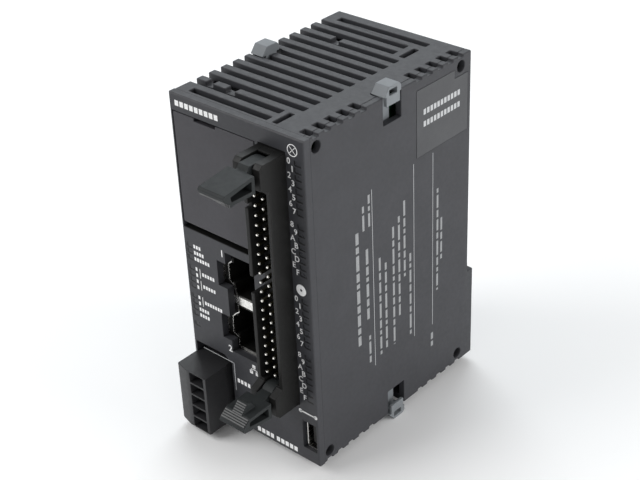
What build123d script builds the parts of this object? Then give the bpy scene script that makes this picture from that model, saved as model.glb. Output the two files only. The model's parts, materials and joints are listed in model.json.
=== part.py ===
from build123d import *
import os

os.makedirs("parts", exist_ok=True)

# ---------------------------------------------------------------------------
# Frame: X runs from the left side to the right side, Y from the front panel
# to the mounting rail, Z upwards.  The origin is the middle of the flat seat
# on the rear that bears on a 35 mm mounting rail.  All sizes in millimetres.
# ---------------------------------------------------------------------------

# Overall body
WIDTH, DEPTH, HEIGHT = 42.0, 60.0, 90.0
LEFT, RIGHT = -WIDTH / 2, WIDTH / 2
FRONT, REAR = -DEPTH, 0.0
TOP, BOTTOM = HEIGHT / 2, -HEIGHT / 2
WALL = 1.8
EDGE_FILLET = 0.35

# Clearances
SLIM, LAP, SHOULDER = 0.1, 0.2, 0.5     # small clearances between fixed pieces
GAP = 0.3                                # round pieces that move
RUNNING_FIT = 0.05                       # radial, between a pin and its bore
SNUG = 0.05                              # between fixed pieces that slip together
TOUCH = 0.01                             # overlap that fuses neighbouring blocks
OVER = 1.0                               # how far a cut runs past the face it opens

# Shells
BEZEL_BACK = FRONT + 2.0                 # rear face of the front panel
COVER_IN = RIGHT - WALL                  # inner face of the side cover
REAR_IN = REAR - 2.0                     # inner face of the rear base
STEP_OUT = 2.3                           # how far the lower rear block stands out
STEP_TOP = -18.0
TRAY_WALL = 1.0                          # walls of the trays behind the front panel
TRAY_LEFT = LEFT + WALL + 0.1
FLOOR_TOP = BOTTOM + WALL

# Mounting rail (35 mm wide, 1 mm flange) and its catches
RAIL_HALF = 17.5
RAIL_FLANGE = 1.0
LIP_X, LIP_WIDTH, LIP_FOOT = 11.0, 8.0, 2.8
LIP_CLEARANCE, LIP_THICKNESS, LIP_GRIP = 0.2, 1.1, 1.6
LIP_POCKET = 1.0                         # depth of the moulding pocket under each lip
LEVER_WIDTH = 10.4
LEVER_FRONT, LEVER_TAIL = -2.6, 1.2
LEVER_TOP = STEP_TOP - 0.2
CHANNEL_HALF = LEVER_WIDTH / 2 + GAP
CHANNEL_WALL = 1.8
PEG_Z, PEG_HALF = (-37.5, -36.0), 1.8
SPRING_WINDOW_HALF, SPRING_WINDOW_Z = 2.2, (-40.4, -26.0)
LEVER_SKIN_Y = 0.6                       # where the lever's window and slot end
DRIVER_SLOT_HALF, DRIVER_SLOT_FRONT = 3.0, -1.0
SPRING_RADIUS, SPRING_WIRE, SPRING_TURNS, SPRING_Y = 1.15, 0.22, 6, -1.3

# Ventilation grilles in the top and bottom walls; X places are from the left side
SLOT_PITCH, SLOT_WIDTH, SLOT_COUNT = 4.0, 1.95, 14
SLOT_OPEN_DEPTH = 2.2                    # how far an open slot cuts down the side
SLOT_THROUGH = WALL + 0.2
LONG_END, SHORT_END = 32.0, 28.4
CLOSED_START = 3.6
CROSS_SLOTS = ((30.1, 31.7, 5.9, 5.8), (30.4, 32.0, 49.65, 5.9))   # start, end, middle, length
RIB_GAPS = ((3.3, 5.5, 2.5), (9.6, 12.6, 2.5), (10.5, 12.8, 11.5))   # start, end, rib
RIB_GAP_DEPTH = 1.1                      # gaps in the ribs stop short of the inside
EDGE_SLOTS = (4, 8, 12, 16, 20, 40, 44, 48, 52, 56)
EDGE_SLOT_START = 38.0
EDGE_SLOT_DROP = 0.7

# Locating holes and expansion connector on the right side
HOLE_RADIUS, HOLE_INSET_Y, HOLE_Z = 1.5, 4.0, 42.2
SEAL_Y, SEAL_Z = (-21.1, -1.2), (24.5, 42.0)
SEAL_NOTCH_Y, SEAL_NOTCH_Z = 5.3, 2.2
SEAL_THICKNESS = 0.3
EXPANSION_Y, EXPANSION_Z = (-17.8, -7.2), (27.7, 38.8)
EXPANSION_ROWS, EXPANSION_SLOT_HALF, EXPANSION_SLOT_DEPTH = (-14.2, -10.8), 0.6, 3.0
EXPANSION_GAP = 0.2

# Expansion hooks
HOOK_Y = (-33.4, -27.4)
HOOK_SLOT_Y = (-33.3, -26.8)
HOOK_RISE, HOOK_WIDTH, HOOK_SKIN = 2.3, 4.1, 0.9
HOOK_RIGHT_X, HOOK_LEFT_X = 21.6, -20.4
HOOK_LEG, HOOK_LEG_WIDTH = 8.5, 1.2
HOOK_HOLE_DEPTH = 7.1
HOOK_NOSE, HOOK_TAIL, HOOK_TAIL_DROP = 1.8, 0.7, 0.8
HOOK_CLEAR = 0.1
HOOK_LOOP_DROP = 2.4                     # how far the outer wall hangs down the side

# Door over the switch and the memory-card slot
BAY_X, BAY_Z, BAY_DEPTH = (-20.4, 6.2), (9.0, 40.6), 3.5
BAY_FLOOR = BEZEL_BACK + BAY_DEPTH
DOOR_THICKNESS, DOOR_BARREL = 1.6, 1.0
DOOR_AXIS_Y, DOOR_AXIS_Z = FRONT + DOOR_BARREL, 11.2
DOOR_NOTCH_X, DOOR_NOTCH = (-13.2, -6.3), 0.8
TRUNNION_RADIUS, TRUNNION_LENGTH, TRUNNION_PLAY = 0.6, 0.35, 0.1
SWITCH_X, SWITCH_Z = (-11.6, -8.4), (20.2, 26.8)
SWITCH_BODY_DEPTH, SWITCH_WELL = 5.5, 3.6
KNOB_HEIGHT, KNOB_OUT, KNOB_IN = 3.0, 2.6, 3.2
KNOB_GROOVES, GROOVE_HALF, GROOVE_DEPTH = 3, 0.15, 0.3
CARD_X, CARD_Z = (2.9, 5.4), (12.8, 37.2)
CARD_DEPTH, CARD_MARGIN_X, CARD_MARGIN_Z, CARD_LIP = 26.0, 0.4, 0.6, 0.1

# 40-pin box header
HEADER_X, HEADER_Z = 11.3, 6.2
HEADER_HALF, SOCKET_HALF = 4.1, 3.0
PIN_PITCH, PIN_ROWS, PIN_SIZE = 2.54, 20, 0.64
RIM_OUT, PIN_OUT, POST_OUT, SOCKET_FLOOR = 5.5, 4.7, 8.1, 1.4
SOCKET_HALF_LENGTH, RIM_END, POST_START, HEADER_END = 26.2, 26.9, 28.2, 34.3
POST_CHAMFER, HEADER_END_GAP = 1.0, 0.35
LATCH_SLOT_HALF, LATCH_SLOT_FLOOR = 1.9, 0.4
KEY_HALF, KEY_FLOOR = 2.3, 0.8
SMALL_NOTCH, SMALL_NOTCH_FLOOR = (20.4, 21.6), 4.2
HEADER_BACK = -54.0
PIN_COLUMNS = (HEADER_X - PIN_PITCH / 2, HEADER_X + PIN_PITCH / 2)
PIN_BENDS = (HEADER_BACK + 4.3, HEADER_BACK + 1.8)

# Latches: reach out of the front face, place away from the header's middle
PIVOT_OUT, PIVOT_OFFSET, PIVOT_RADIUS = 4.2, 30.4, 0.75
PIVOT_INSET = 0.5                        # how far the pin stops inside the header's wall
PIVOT_PLAY, PIVOT_FIT = 0.1, 0.01
LATCH_NECK, LATCH_HEAD = 1.65, 3.95
LATCH_SHOULDER = 9.5
LEVER_OUTLINE = ((4.2, 33.9), (8.6, 33.9), (9.2, 32.8), (18.6, 31.8), (19.1, 31.2), (18.9, 30.4),
                 (16.6, 28.6), (9.6, 28.4), (4.2, 27.9))
LEVER_WINDOW = ((10.5, 31.8), (16.9, 30.8), (16.7, 29.6), (10.5, 29.4))
LEVER_STEM = ((17.2, 29.1), (14.8, 26.5), (13.7, 26.7), (12.6, 28.5), (12.6, 29.2))
WEB_HALF, STEM_HALF, LEVER_ROUND = 1.2, 1.6, 3.45
TOE_OUT, TOE_OFFSET = (1.9, 3.2), 27.3   # the toe that lifts a plug out

# Twin network jacks
JACK_WINDOW_X, JACK_WINDOW_Z = (-6.8, 2.8), (-22.3, 6.7)
JACK_X = (-6.4, 2.8)
JACK_CENTRES, JACK_WIDTH = (-0.2, -15.6), 12.0
PANEL_NOTCH_X, PANEL_NOTCH_HALF = -9.8, 3.6
JACK_NOTCH_X, JACK_NOTCH_HALF = -8.0, 2.8
SHIELD_X, SHIELD_Z = (-10.2, 5.7), (-23.3, 7.8)
SHIELD_FRONT = BEZEL_BACK + SNUG
SHIELD_BACK, SHEET = -40.0, 0.3
SHIELD_BRIDGE_Z = (-8.8, -6.5)
JACK_DEPTH, JACK_NOTCH_DEPTH = 13.5, 11.5
INSERT_HALF = 6.8
CONTACT_PITCH, CONTACTS, CONTACT_HALF = 1.02, 8, 0.22
CONTACT_SPRING = ((0.0, 3.0), (-2.2, 10.6), (-2.5, 10.5), (-0.35, 3.0))   # from the wall, depth

# Five-pole plug in the open lower left corner
PLUG_X, PLUG_Z = (-20.3, -9.4), (-45.5, -28.0)
PLUG_BAY_X, PLUG_BAY_TOP, PLUG_BAY_BACK = (-20.2, -7.6), -24.8, -50.0
BAY_CORNER = (2.5, 1.8)                  # bevel at the bay's upper right corner
PLUG_OUT, PLUG_CHAMFER = 7.9, (3.7, 1.0)
PLUG_BACK, PLUG_NECK = -50.6, 0.4
POLE_PITCH, POLE_COUNT, POLE_SIZE, POLE_CLEAR = 3.5, 5, 0.8, 0.2
POLE_X = -14.2
PORT_X, PORT_Z = (-15.8, -12.0), (-44.3, -28.3)
PORT_DEPTH, PIN_TAIL, PIN_TIP = 5.0, 6.0, 1.6
WIRE_WINDOW, WINDOW_MIDDLE = (4.8, 3.0), -12.8
CLAMP_Y, CLAMP_HALF, CLAMP_HOLE_HALF = (-62.6, -60.2), (2.2, 1.1), (1.4, 0.7)
SCREW_Y, SCREW_RADIUS, SCREW_LENGTH, SCREW_SUNK = -63.6, 1.2, 3.2, 0.7
SCREW_BORE, SCREW_SLOT_HALF, SCREW_SLOT_DEPTH = 4.3, 0.2, 0.6

# Service socket (mini type) in the lower right corner
USB_X, USB_Z = (15.9, 20.4), (-41.0, -32.7)
USB_SHELL_X, USB_INSET = (16.7, 20.2), 0.2
USB_FRONT, USB_LENGTH, USB_CORNER = 0.8, 10.0, 0.6
USB_POCKET = 0.8
TONGUE_HALF, TONGUE_FRONT, TONGUE_INSET = 0.4, 1.6, 1.6

# Indicator windows
ROW_PITCH, ROWS = 1.78, 8
INPUT_STARTS = (5.93, 21.95)
OUTPUT_STARTS = (41.86, 57.8)
WINDOW_X, WINDOW_HEIGHT, WINDOW_PLAY = (18.2, 20.0), 1.15, 0.06
STATUS_GROUPS = ((40.7, 3), (47.2, 4), (55.6, 4), (64.1, 1))
STATUS_X = (-20.3, -18.2)
PIPE_DEPTH, PIPE_MARGIN = 1.8, 0.8
LAMP_SIZE = (1.2, 1.0)                   # along Y and along Z
LAMP_REACH, LAMP_GAP = 1.6, 0.1

# Circuit boards and what they carry
BOARD = 1.2
IO_BOARD_X, CPU_BOARD_X, LEFT_BOARD_X = 15.5, 5.8, -17.0
BOARD_FRONT, BOARD_BACK, BOARD_HALF = -52.9, -5.0, 41.0
LEFT_BOARD_TOP, HOOK_NOTCH_TOP = BAY_Z[0] - 1.4, -33.0
GUIDE_Z, GUIDE_HALF, GUIDE_LENGTH = (-30.0, 18.0), 3.0, 2.5
CAPACITOR_HEIGHTS, CAPACITOR_RADIUS, CAPACITOR_LENGTH, CAPACITOR_Y = (16.0, 24.0, 32.0), 3.2, 7.5, -16.0
TRANSISTOR_HEIGHTS, TRANSISTOR_HALF, TRANSISTOR_Y = (-36.0, -29.0, -22.0, -15.0), 2.4, (-18.0, -10.0)
TRANSISTOR_DEPTH, CHIP_DEPTH, INDUCTOR_DEPTH = 2.2, 1.4, 5.0
CHIP_Y, CHIP_Z = (-38.0, -24.0), (-20.0, -6.0)
INDUCTOR_Y, INDUCTOR_Z = (-42.0, -30.0), (18.0, 30.0)
CONNECTOR_Y, CONNECTOR_Z = (-30.0, -24.0), (-25.0, 5.0)
BRIDGE_Y, BRIDGE_Z = (-22.0, -19.0), (-5.0, 5.0)


def block(low, high, mode=Mode.ADD):
    """Add or cut a box given by its lowest and highest corners."""
    size = [h - l for l, h in zip(low, high)]
    middle = [(l + h) / 2 for l, h in zip(low, high)]
    with Locations(tuple(middle)):
        Box(*size, mode=mode)


def blocks(size, middles, mode=Mode.ADD):
    """Add or cut equal boxes at a list of middle points in one operation."""
    with Locations(*middles):
        Box(*size, mode=mode)


def rod(start, axis, radius, length, mode=Mode.ADD):
    """Add or cut a round bar that starts at a point and runs along an axis."""
    with BuildSketch(Plane(origin=start, z_dir=axis)) as disc:
        Circle(radius)
    extrude(disc.sketch, amount=length, mode=mode)


def prism(plane, points, length, both=False, mode=Mode.ADD):
    """Add or cut a straight prism over a closed outline drawn on a plane."""
    with BuildSketch(plane) as outline:
        with BuildLine():
            Polyline(*points, close=True)
        make_face()
    extrude(outline.sketch, amount=length, both=both, mode=mode)


def finish(builder, name):
    """Label a finished piece and write it as its own file."""
    builder.part.label = name
    export_step(builder.part, f"parts/{name}.step")


def window_heights(starts):
    """Middle heights of the indicator windows of one input or output set."""
    return [TOP - start - row * ROW_PITCH for start in starts for row in range(ROWS)]


def status_heights():
    """Middle heights of the status windows on the left."""
    return [TOP - start - row * ROW_PITCH for start, count in STATUS_GROUPS for row in range(count)]


def pin_heights():
    """Heights of the header's twenty pin rows."""
    return [HEADER_Z + (row - (PIN_ROWS - 1) / 2) * PIN_PITCH for row in range(PIN_ROWS)]


def pole_heights():
    """Heights of the five-pole connector's contacts."""
    middle = sum(PLUG_Z) / 2
    return [middle + (pole - (POLE_COUNT - 1) / 2) * POLE_PITCH for pole in range(POLE_COUNT)]


# ---------------------------------------------------------------------------
# Case body: left, top and bottom walls with their ventilation slots
# ---------------------------------------------------------------------------

def grille_slots(side):
    """Cut the slots of the top wall (side +1) or the bottom wall (side -1)."""

    def cut(x_range, length, y_mids, depth):
        z_mid = side * (TOP + (OVER - depth) / 2)
        middles = [(LEFT + sum(x_range) / 2, FRONT + y, z_mid) for y in y_mids]
        blocks((x_range[1] - x_range[0], length, depth + OVER), middles, Mode.SUBTRACT)

    mids = [SLOT_PITCH * (k + 1) for k in range(SLOT_COUNT)]
    open_start = WALL - TOUCH
    cut((CLOSED_START, SHORT_END), SLOT_WIDTH, mids[:1], SLOT_THROUGH)
    cut((open_start, SHORT_END), SLOT_WIDTH, [mids[1], *mids[11:13]], SLOT_THROUGH)
    cut((open_start, LONG_END), SLOT_WIDTH, mids[2:11], SLOT_THROUGH)
    cut((CLOSED_START, LONG_END), SLOT_WIDTH, mids[-1:], SLOT_THROUGH)
    cut((-OVER, WALL), SLOT_WIDTH, mids[1:-1], SLOT_OPEN_DEPTH)
    cut((EDGE_SLOT_START, WIDTH), SLOT_WIDTH, EDGE_SLOTS, SLOT_THROUGH)
    for start, end, middle, length in CROSS_SLOTS:
        cut((start, end), length, (middle,), SLOT_THROUGH)
    for start, end, rib in RIB_GAPS:
        cut((start, end), SLOT_PITCH, (SLOT_PITCH * rib,), RIB_GAP_DEPTH)


def hook_slots(side):
    """Cut the two slots that the expansion hooks pass through."""
    for x_low, x_high in ((HOOK_RIGHT_X - HOOK_WIDTH - GAP, COVER_IN + TOUCH),
                          (LEFT + WALL - TOUCH, HOOK_LEFT_X + HOOK_WIDTH + GAP)):
        z_low, z_high = sorted((side * (TOP + OVER), side * (TOP - SLOT_THROUGH)))
        block((x_low, HOOK_SLOT_Y[0], z_low), (x_high, HOOK_SLOT_Y[1], z_high), Mode.SUBTRACT)


def hook_hole(side, x_low, x_high):
    """Cut the hole in a side wall where a hook's leg shows (side +1 at the top, -1 at the bottom)."""
    z_low, z_high = sorted((side * (TOP + OVER), side * (TOP - HOOK_HOLE_DEPTH)))
    block((x_low, HOOK_SLOT_Y[0], z_low), (x_high, HOOK_SLOT_Y[1], z_high), Mode.SUBTRACT)


CORNER_BACK = PLUG_BAY_BACK + TRAY_WALL
CORNER_RIGHT = PLUG_BAY_X[1] + TRAY_WALL

with BuildPart() as case_body:
    block((LEFT, BEZEL_BACK, BOTTOM), (LEFT + WALL, REAR, TOP))
    block((LEFT, REAR - TOUCH, BOTTOM), (LEFT + WALL, STEP_OUT, STEP_TOP))
    block((LEFT, BEZEL_BACK, TOP - WALL), (COVER_IN, REAR, TOP))
    block((LEFT, BEZEL_BACK, BOTTOM), (COVER_IN, REAR, FLOOR_TOP))
    fillet(case_body.edges().filter_by(Axis.Y).group_by(Axis.X)[0], EDGE_FILLET)
    for side in (1, -1):
        grille_slots(side)
        hook_slots(side)
        hook_hole(side, LEFT - OVER, LEFT + WALL + TOUCH)
    # Open corner for the five-pole plug, and a relief over the floor for its lowest contact
    block((PLUG_BAY_X[0], BEZEL_BACK - OVER, BOTTOM - OVER), (CORNER_RIGHT, CORNER_BACK, FLOOR_TOP + TOUCH),
          Mode.SUBTRACT)
    block((PLUG_BAY_X[0], BEZEL_BACK - OVER, BOTTOM - OVER),
          (LEFT + WALL + TOUCH, CORNER_BACK, PLUG_BAY_TOP + TRAY_WALL), Mode.SUBTRACT)
    block((PORT_X[0] - GAP, CORNER_BACK - TOUCH, PORT_Z[0] - GAP),
          (PORT_X[1] + GAP, PLUG_BAY_BACK + PIN_TAIL + GAP, FLOOR_TOP + TOUCH), Mode.SUBTRACT)
    # Way out of the bottom wall for the rail lever
    block((-CHANNEL_HALF, LEVER_FRONT - GAP, BOTTOM - OVER), (CHANNEL_HALF, REAR + OVER, FLOOR_TOP + OVER),
          Mode.SUBTRACT)
finish(case_body, "case_body")


# ---------------------------------------------------------------------------
# Right side cover
# ---------------------------------------------------------------------------

def seal_blocks(low_x, high_x, margin, mode=Mode.ADD):
    """The seal's outline, a rectangle with one corner notched, as two overlapping blocks."""
    block((low_x, SEAL_Y[0] - margin, SEAL_Z[0] - margin),
          (high_x, SEAL_Y[1] + margin, SEAL_Z[1] - SEAL_NOTCH_Z + margin), mode)
    block((low_x, SEAL_Y[0] - margin, SEAL_Z[0] - margin),
          (high_x, SEAL_Y[1] - SEAL_NOTCH_Y + margin, SEAL_Z[1] + margin), mode)


with BuildPart() as side_cover:
    block((COVER_IN, BEZEL_BACK, BOTTOM), (RIGHT, REAR, TOP))
    block((COVER_IN, REAR - TOUCH, BOTTOM), (RIGHT, STEP_OUT, STEP_TOP))
    fillet(side_cover.edges().filter_by(Axis.Y).group_by(Axis.X)[-1], EDGE_FILLET)
    edge_slot = (WALL + 2 * OVER, SLOT_WIDTH, 2 * EDGE_SLOT_DROP)
    blocks(edge_slot, [(COVER_IN, FRONT + y, z) for y in EDGE_SLOTS for z in (TOP, BOTTOM)], Mode.SUBTRACT)
    for side in (1, -1):
        hook_hole(side, COVER_IN - OVER, RIGHT + OVER)
    with BuildSketch(Plane.YZ.offset(COVER_IN)):
        with Locations((FRONT / 2, 0)):
            with GridLocations(DEPTH - 2 * HOLE_INSET_Y, 2 * HOLE_Z, 2, 2):
                Circle(HOLE_RADIUS)
    extrude(amount=WALL, mode=Mode.SUBTRACT)
    # Shallow seat of the seal and the connector opening behind it
    seal_blocks(RIGHT - SEAL_THICKNESS, RIGHT + OVER, SNUG, Mode.SUBTRACT)
    block((COVER_IN - OVER, EXPANSION_Y[0] - EXPANSION_GAP, EXPANSION_Z[0] - EXPANSION_GAP),
          (RIGHT + OVER, EXPANSION_Y[1] + EXPANSION_GAP, EXPANSION_Z[1] + EXPANSION_GAP), Mode.SUBTRACT)
    # Inner pockets over the service socket and the light pipes
    pipe_z = sorted(window_heights(INPUT_STARTS) + window_heights(OUTPUT_STARTS))
    block((COVER_IN - OVER, BEZEL_BACK - OVER, USB_Z[0] - USB_POCKET),
          (USB_SHELL_X[1] + SLIM, FRONT + USB_LENGTH + OVER, USB_Z[1] + USB_POCKET), Mode.SUBTRACT)
    block((COVER_IN - OVER, BEZEL_BACK - OVER, pipe_z[0] - 2 * PIPE_MARGIN),
          (WINDOW_X[1] + SLIM, BEZEL_BACK + PIPE_DEPTH + LAP, pipe_z[-1] + 2 * PIPE_MARGIN), Mode.SUBTRACT)
finish(side_cover, "side_cover")

with BuildPart() as connector_seal:
    seal_blocks(RIGHT - SEAL_THICKNESS, RIGHT, 0)
finish(connector_seal, "connector_seal")


# ---------------------------------------------------------------------------
# Front panel with the door bay and the plug bay moulded behind it
# ---------------------------------------------------------------------------

with BuildPart() as front_bezel:
    block((LEFT, FRONT, BOTTOM), (RIGHT, BEZEL_BACK, TOP))
    chamfer(front_bezel.edges().filter_by(Axis.X).group_by(Axis.Y)[0], EDGE_FILLET)
    fillet(front_bezel.edges().filter_by(Axis.Z).group_by(Axis.Y)[0], EDGE_FILLET)
    # Tray behind the door, with the openings of the switch and the card
    block((TRAY_LEFT, BEZEL_BACK, BAY_Z[0] - TRAY_WALL), (BAY_X[1] + TRAY_WALL - SLIM, BAY_FLOOR + TRAY_WALL,
          BAY_Z[1] + TRAY_WALL))
    block((TRAY_LEFT + TRAY_WALL, BEZEL_BACK - TOUCH, BAY_Z[0]), (BAY_X[1], BAY_FLOOR, BAY_Z[1]),
          Mode.SUBTRACT)
    block((BAY_X[0], FRONT - OVER, BAY_Z[0]), (BAY_X[1], BEZEL_BACK, BAY_Z[1]), Mode.SUBTRACT)
    for x_range, z_range in ((SWITCH_X, SWITCH_Z), (CARD_X, CARD_Z)):
        block((x_range[0], BAY_FLOOR - OVER, z_range[0]), (x_range[1], BAY_FLOOR + 2 * OVER, z_range[1]),
              Mode.SUBTRACT)
    rod((BAY_X[0] - TRUNNION_LENGTH, DOOR_AXIS_Y, DOOR_AXIS_Z), (1, 0, 0), TRUNNION_RADIUS + RUNNING_FIT,
        BAY_X[1] - BAY_X[0] + 2 * TRUNNION_LENGTH, Mode.SUBTRACT)
    # Box header opening
    opening_half = (HEADER_HALF + SNUG, HEADER_END + HEADER_END_GAP)
    block((HEADER_X - opening_half[0], FRONT - OVER, HEADER_Z - opening_half[1]),
          (HEADER_X + opening_half[0], BEZEL_BACK + OVER, HEADER_Z + opening_half[1]), Mode.SUBTRACT)
    # One window for both network jacks, with a latch notch for each
    block((JACK_WINDOW_X[0], FRONT - OVER, JACK_WINDOW_Z[0]),
          (JACK_WINDOW_X[1], BEZEL_BACK + OVER, JACK_WINDOW_Z[1]), Mode.SUBTRACT)
    for z in JACK_CENTRES:
        block((PANEL_NOTCH_X, FRONT - OVER, z - PANEL_NOTCH_HALF),
              (JACK_WINDOW_X[0] + OVER, BEZEL_BACK + OVER, z + PANEL_NOTCH_HALF), Mode.SUBTRACT)
    # Plug bay, open at the bottom and on the left
    block((TRAY_LEFT, BEZEL_BACK, BOTTOM),
          (CORNER_RIGHT - SNUG, CORNER_BACK - SNUG, PLUG_BAY_TOP + TRAY_WALL))
    bay_outline = ((PLUG_BAY_X[0], BOTTOM - OVER), (PLUG_BAY_X[0], PLUG_BAY_TOP),
                   (PLUG_BAY_X[1] - BAY_CORNER[0], PLUG_BAY_TOP),
                   (PLUG_BAY_X[1], PLUG_BAY_TOP - BAY_CORNER[1]), (PLUG_BAY_X[1], BOTTOM - OVER))
    prism(Plane.XZ.offset(-PLUG_BAY_BACK), bay_outline, DEPTH, mode=Mode.SUBTRACT)
    block((PORT_X[0], PLUG_BAY_BACK - OVER, PORT_Z[0]), (PORT_X[1], PLUG_BAY_BACK + 2 * OVER, PORT_Z[1]),
          Mode.SUBTRACT)
    # Service socket opening and indicator windows
    block((USB_X[0], FRONT - OVER, USB_Z[0]), (USB_X[1], BEZEL_BACK + OVER, USB_Z[1]), Mode.SUBTRACT)
    for x_range, heights in ((WINDOW_X, pipe_z), (STATUS_X, status_heights())):
        middles = [(sum(x_range) / 2, (FRONT + BEZEL_BACK) / 2, z) for z in heights]
        blocks((x_range[1] - x_range[0], 2 * (BEZEL_BACK - FRONT), WINDOW_HEIGHT), middles, Mode.SUBTRACT)
finish(front_bezel, "front_bezel")


# ---------------------------------------------------------------------------
# Rear base: rail seat, fixed rail lips, lever channel and board guides
# ---------------------------------------------------------------------------

LIP_INNER = RAIL_FLANGE + LIP_CLEARANCE
LIP_OUTER = LIP_INNER + LIP_THICKNESS

with BuildPart() as rear_base:
    block((LEFT + WALL, REAR_IN, FLOOR_TOP), (COVER_IN, REAR, TOP - WALL))
    block((LEFT + WALL, REAR, BOTTOM), (COVER_IN, STEP_OUT, STEP_TOP))
    for x in (IO_BOARD_X, CPU_BOARD_X, LEFT_BOARD_X):
        for z in GUIDE_Z:
            if x == LEFT_BOARD_X and z > 0:
                continue
            block((x - TRAY_WALL, BOARD_BACK - GUIDE_LENGTH, z - GUIDE_HALF),
                  (x + BOARD + TRAY_WALL, REAR_IN, z + GUIDE_HALF))
            block((x, BOARD_BACK - GUIDE_LENGTH - OVER, z - GUIDE_HALF - OVER),
                  (x + BOARD, BOARD_BACK, z + GUIDE_HALF + OVER), Mode.SUBTRACT)
    block((-CHANNEL_HALF - CHANNEL_WALL, LEVER_FRONT - CHANNEL_WALL + LAP, FLOOR_TOP),
          (CHANNEL_HALF + CHANNEL_WALL, REAR_IN, STEP_TOP + 2 * CHANNEL_WALL))
    block((-CHANNEL_HALF, LEVER_FRONT - GAP, BOTTOM - OVER),
          (CHANNEL_HALF, STEP_OUT + OVER, LEVER_TOP + 2 * GAP), Mode.SUBTRACT)
    block((-PEG_HALF, LEVER_FRONT - GAP, PEG_Z[0]), (PEG_HALF, REAR - LAP, PEG_Z[1]))
    # Moulding pocket under the lever's tip, then the fixed lips and the pockets under them
    block((-CHANNEL_HALF, REAR - LIP_POCKET, LEVER_TOP),
          (CHANNEL_HALF, REAR + TOUCH, -RAIL_HALF + LIP_GRIP + GAP), Mode.SUBTRACT)
    for x in (-LIP_X, LIP_X):
        left, right = x - LIP_WIDTH / 2, x + LIP_WIDTH / 2
        foot = RAIL_HALF + LIP_CLEARANCE
        block((left, REAR - TOUCH, foot), (right, LIP_OUTER, foot + LIP_FOOT))
        block((left, LIP_INNER, RAIL_HALF - LIP_GRIP), (right, LIP_OUTER, foot + TOUCH))
        block((left - GAP, REAR - LIP_POCKET, RAIL_HALF - LIP_GRIP - GAP), (right + GAP, REAR + TOUCH, foot),
              Mode.SUBTRACT)
finish(rear_base, "rear_base")

with BuildPart() as din_lever:
    half = LEVER_WIDTH / 2
    outer = STEP_OUT - SLIM
    block((-half, LEVER_FRONT, BOTTOM - LEVER_TAIL), (half, outer, LEVER_TOP))
    block((-half, LIP_INNER, LEVER_TOP - TOUCH), (half, outer, -RAIL_HALF + LIP_GRIP))
    # Window for the return spring, and the slot for a screwdriver tip
    block((-SPRING_WINDOW_HALF, LEVER_FRONT - OVER, SPRING_WINDOW_Z[0]),
          (SPRING_WINDOW_HALF, LEVER_SKIN_Y, SPRING_WINDOW_Z[1]), Mode.SUBTRACT)
    block((-DRIVER_SLOT_HALF, DRIVER_SLOT_FRONT, BOTTOM - LEVER_TAIL - OVER),
          (DRIVER_SLOT_HALF, LEVER_SKIN_Y, BOTTOM + LEVER_TAIL), Mode.SUBTRACT)
finish(din_lever, "din_lever")

with BuildPart() as lever_spring:
    seat_z = PEG_Z[1] + SPRING_WIRE + SNUG
    spring_height = SPRING_WINDOW_Z[1] - PEG_Z[1] - 2 * (SPRING_WIRE + SNUG)
    with BuildLine(Plane((0, SPRING_Y, seat_z))) as coil:
        Helix(pitch=spring_height / SPRING_TURNS, height=spring_height, radius=SPRING_RADIUS)
    with BuildSketch(Plane(origin=coil.line @ 0, z_dir=coil.line % 0)):
        Circle(SPRING_WIRE)
    sweep(is_frenet=True)
finish(lever_spring, "lever_spring")


# ---------------------------------------------------------------------------
# Door, switch and card socket
# ---------------------------------------------------------------------------

with BuildPart() as door:
    x_low, x_high = BAY_X[0] + GAP, BAY_X[1] - GAP
    trunnion = GAP + TRUNNION_LENGTH - TRUNNION_PLAY
    rod((x_low, DOOR_AXIS_Y, DOOR_AXIS_Z), (1, 0, 0), DOOR_BARREL, x_high - x_low)
    block((x_low, FRONT, DOOR_AXIS_Z), (x_high, FRONT + DOOR_THICKNESS, BAY_Z[1] - GAP))
    rod((x_low - trunnion, DOOR_AXIS_Y, DOOR_AXIS_Z), (1, 0, 0), TRUNNION_RADIUS,
        x_high - x_low + 2 * trunnion)
    block((DOOR_NOTCH_X[0], FRONT - OVER, BAY_Z[1] - GAP - DOOR_NOTCH),
          (DOOR_NOTCH_X[1], BEZEL_BACK, BAY_Z[1]), Mode.SUBTRACT)
finish(door, "door")

with BuildPart() as mode_switch_knob:
    knob_top = SWITCH_Z[1] - GAP
    block((SWITCH_X[0] + GAP, BAY_FLOOR - KNOB_OUT, knob_top - KNOB_HEIGHT),
          (SWITCH_X[1] - GAP, BAY_FLOOR + KNOB_IN, knob_top))
    for groove in range(KNOB_GROOVES):
        z = knob_top - KNOB_HEIGHT * (groove + 1) / (KNOB_GROOVES + 1)
        block((SWITCH_X[0], BAY_FLOOR - KNOB_OUT - OVER, z - GROOVE_HALF),
              (SWITCH_X[1], BAY_FLOOR - KNOB_OUT + GROOVE_DEPTH, z + GROOVE_HALF), Mode.SUBTRACT)
finish(mode_switch_knob, "mode_switch_knob")

with BuildPart() as mode_switch_body:
    block((SWITCH_X[0] - TRAY_WALL, BAY_FLOOR + TRAY_WALL, SWITCH_Z[0] - TRAY_WALL),
          (SWITCH_X[1] + TRAY_WALL, BAY_FLOOR + SWITCH_BODY_DEPTH, SWITCH_Z[1] + TRAY_WALL))
    block((SWITCH_X[0], BAY_FLOOR, SWITCH_Z[0]), (SWITCH_X[1], BAY_FLOOR + SWITCH_WELL, SWITCH_Z[1]),
          Mode.SUBTRACT)
finish(mode_switch_body, "mode_switch_body")

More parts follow.
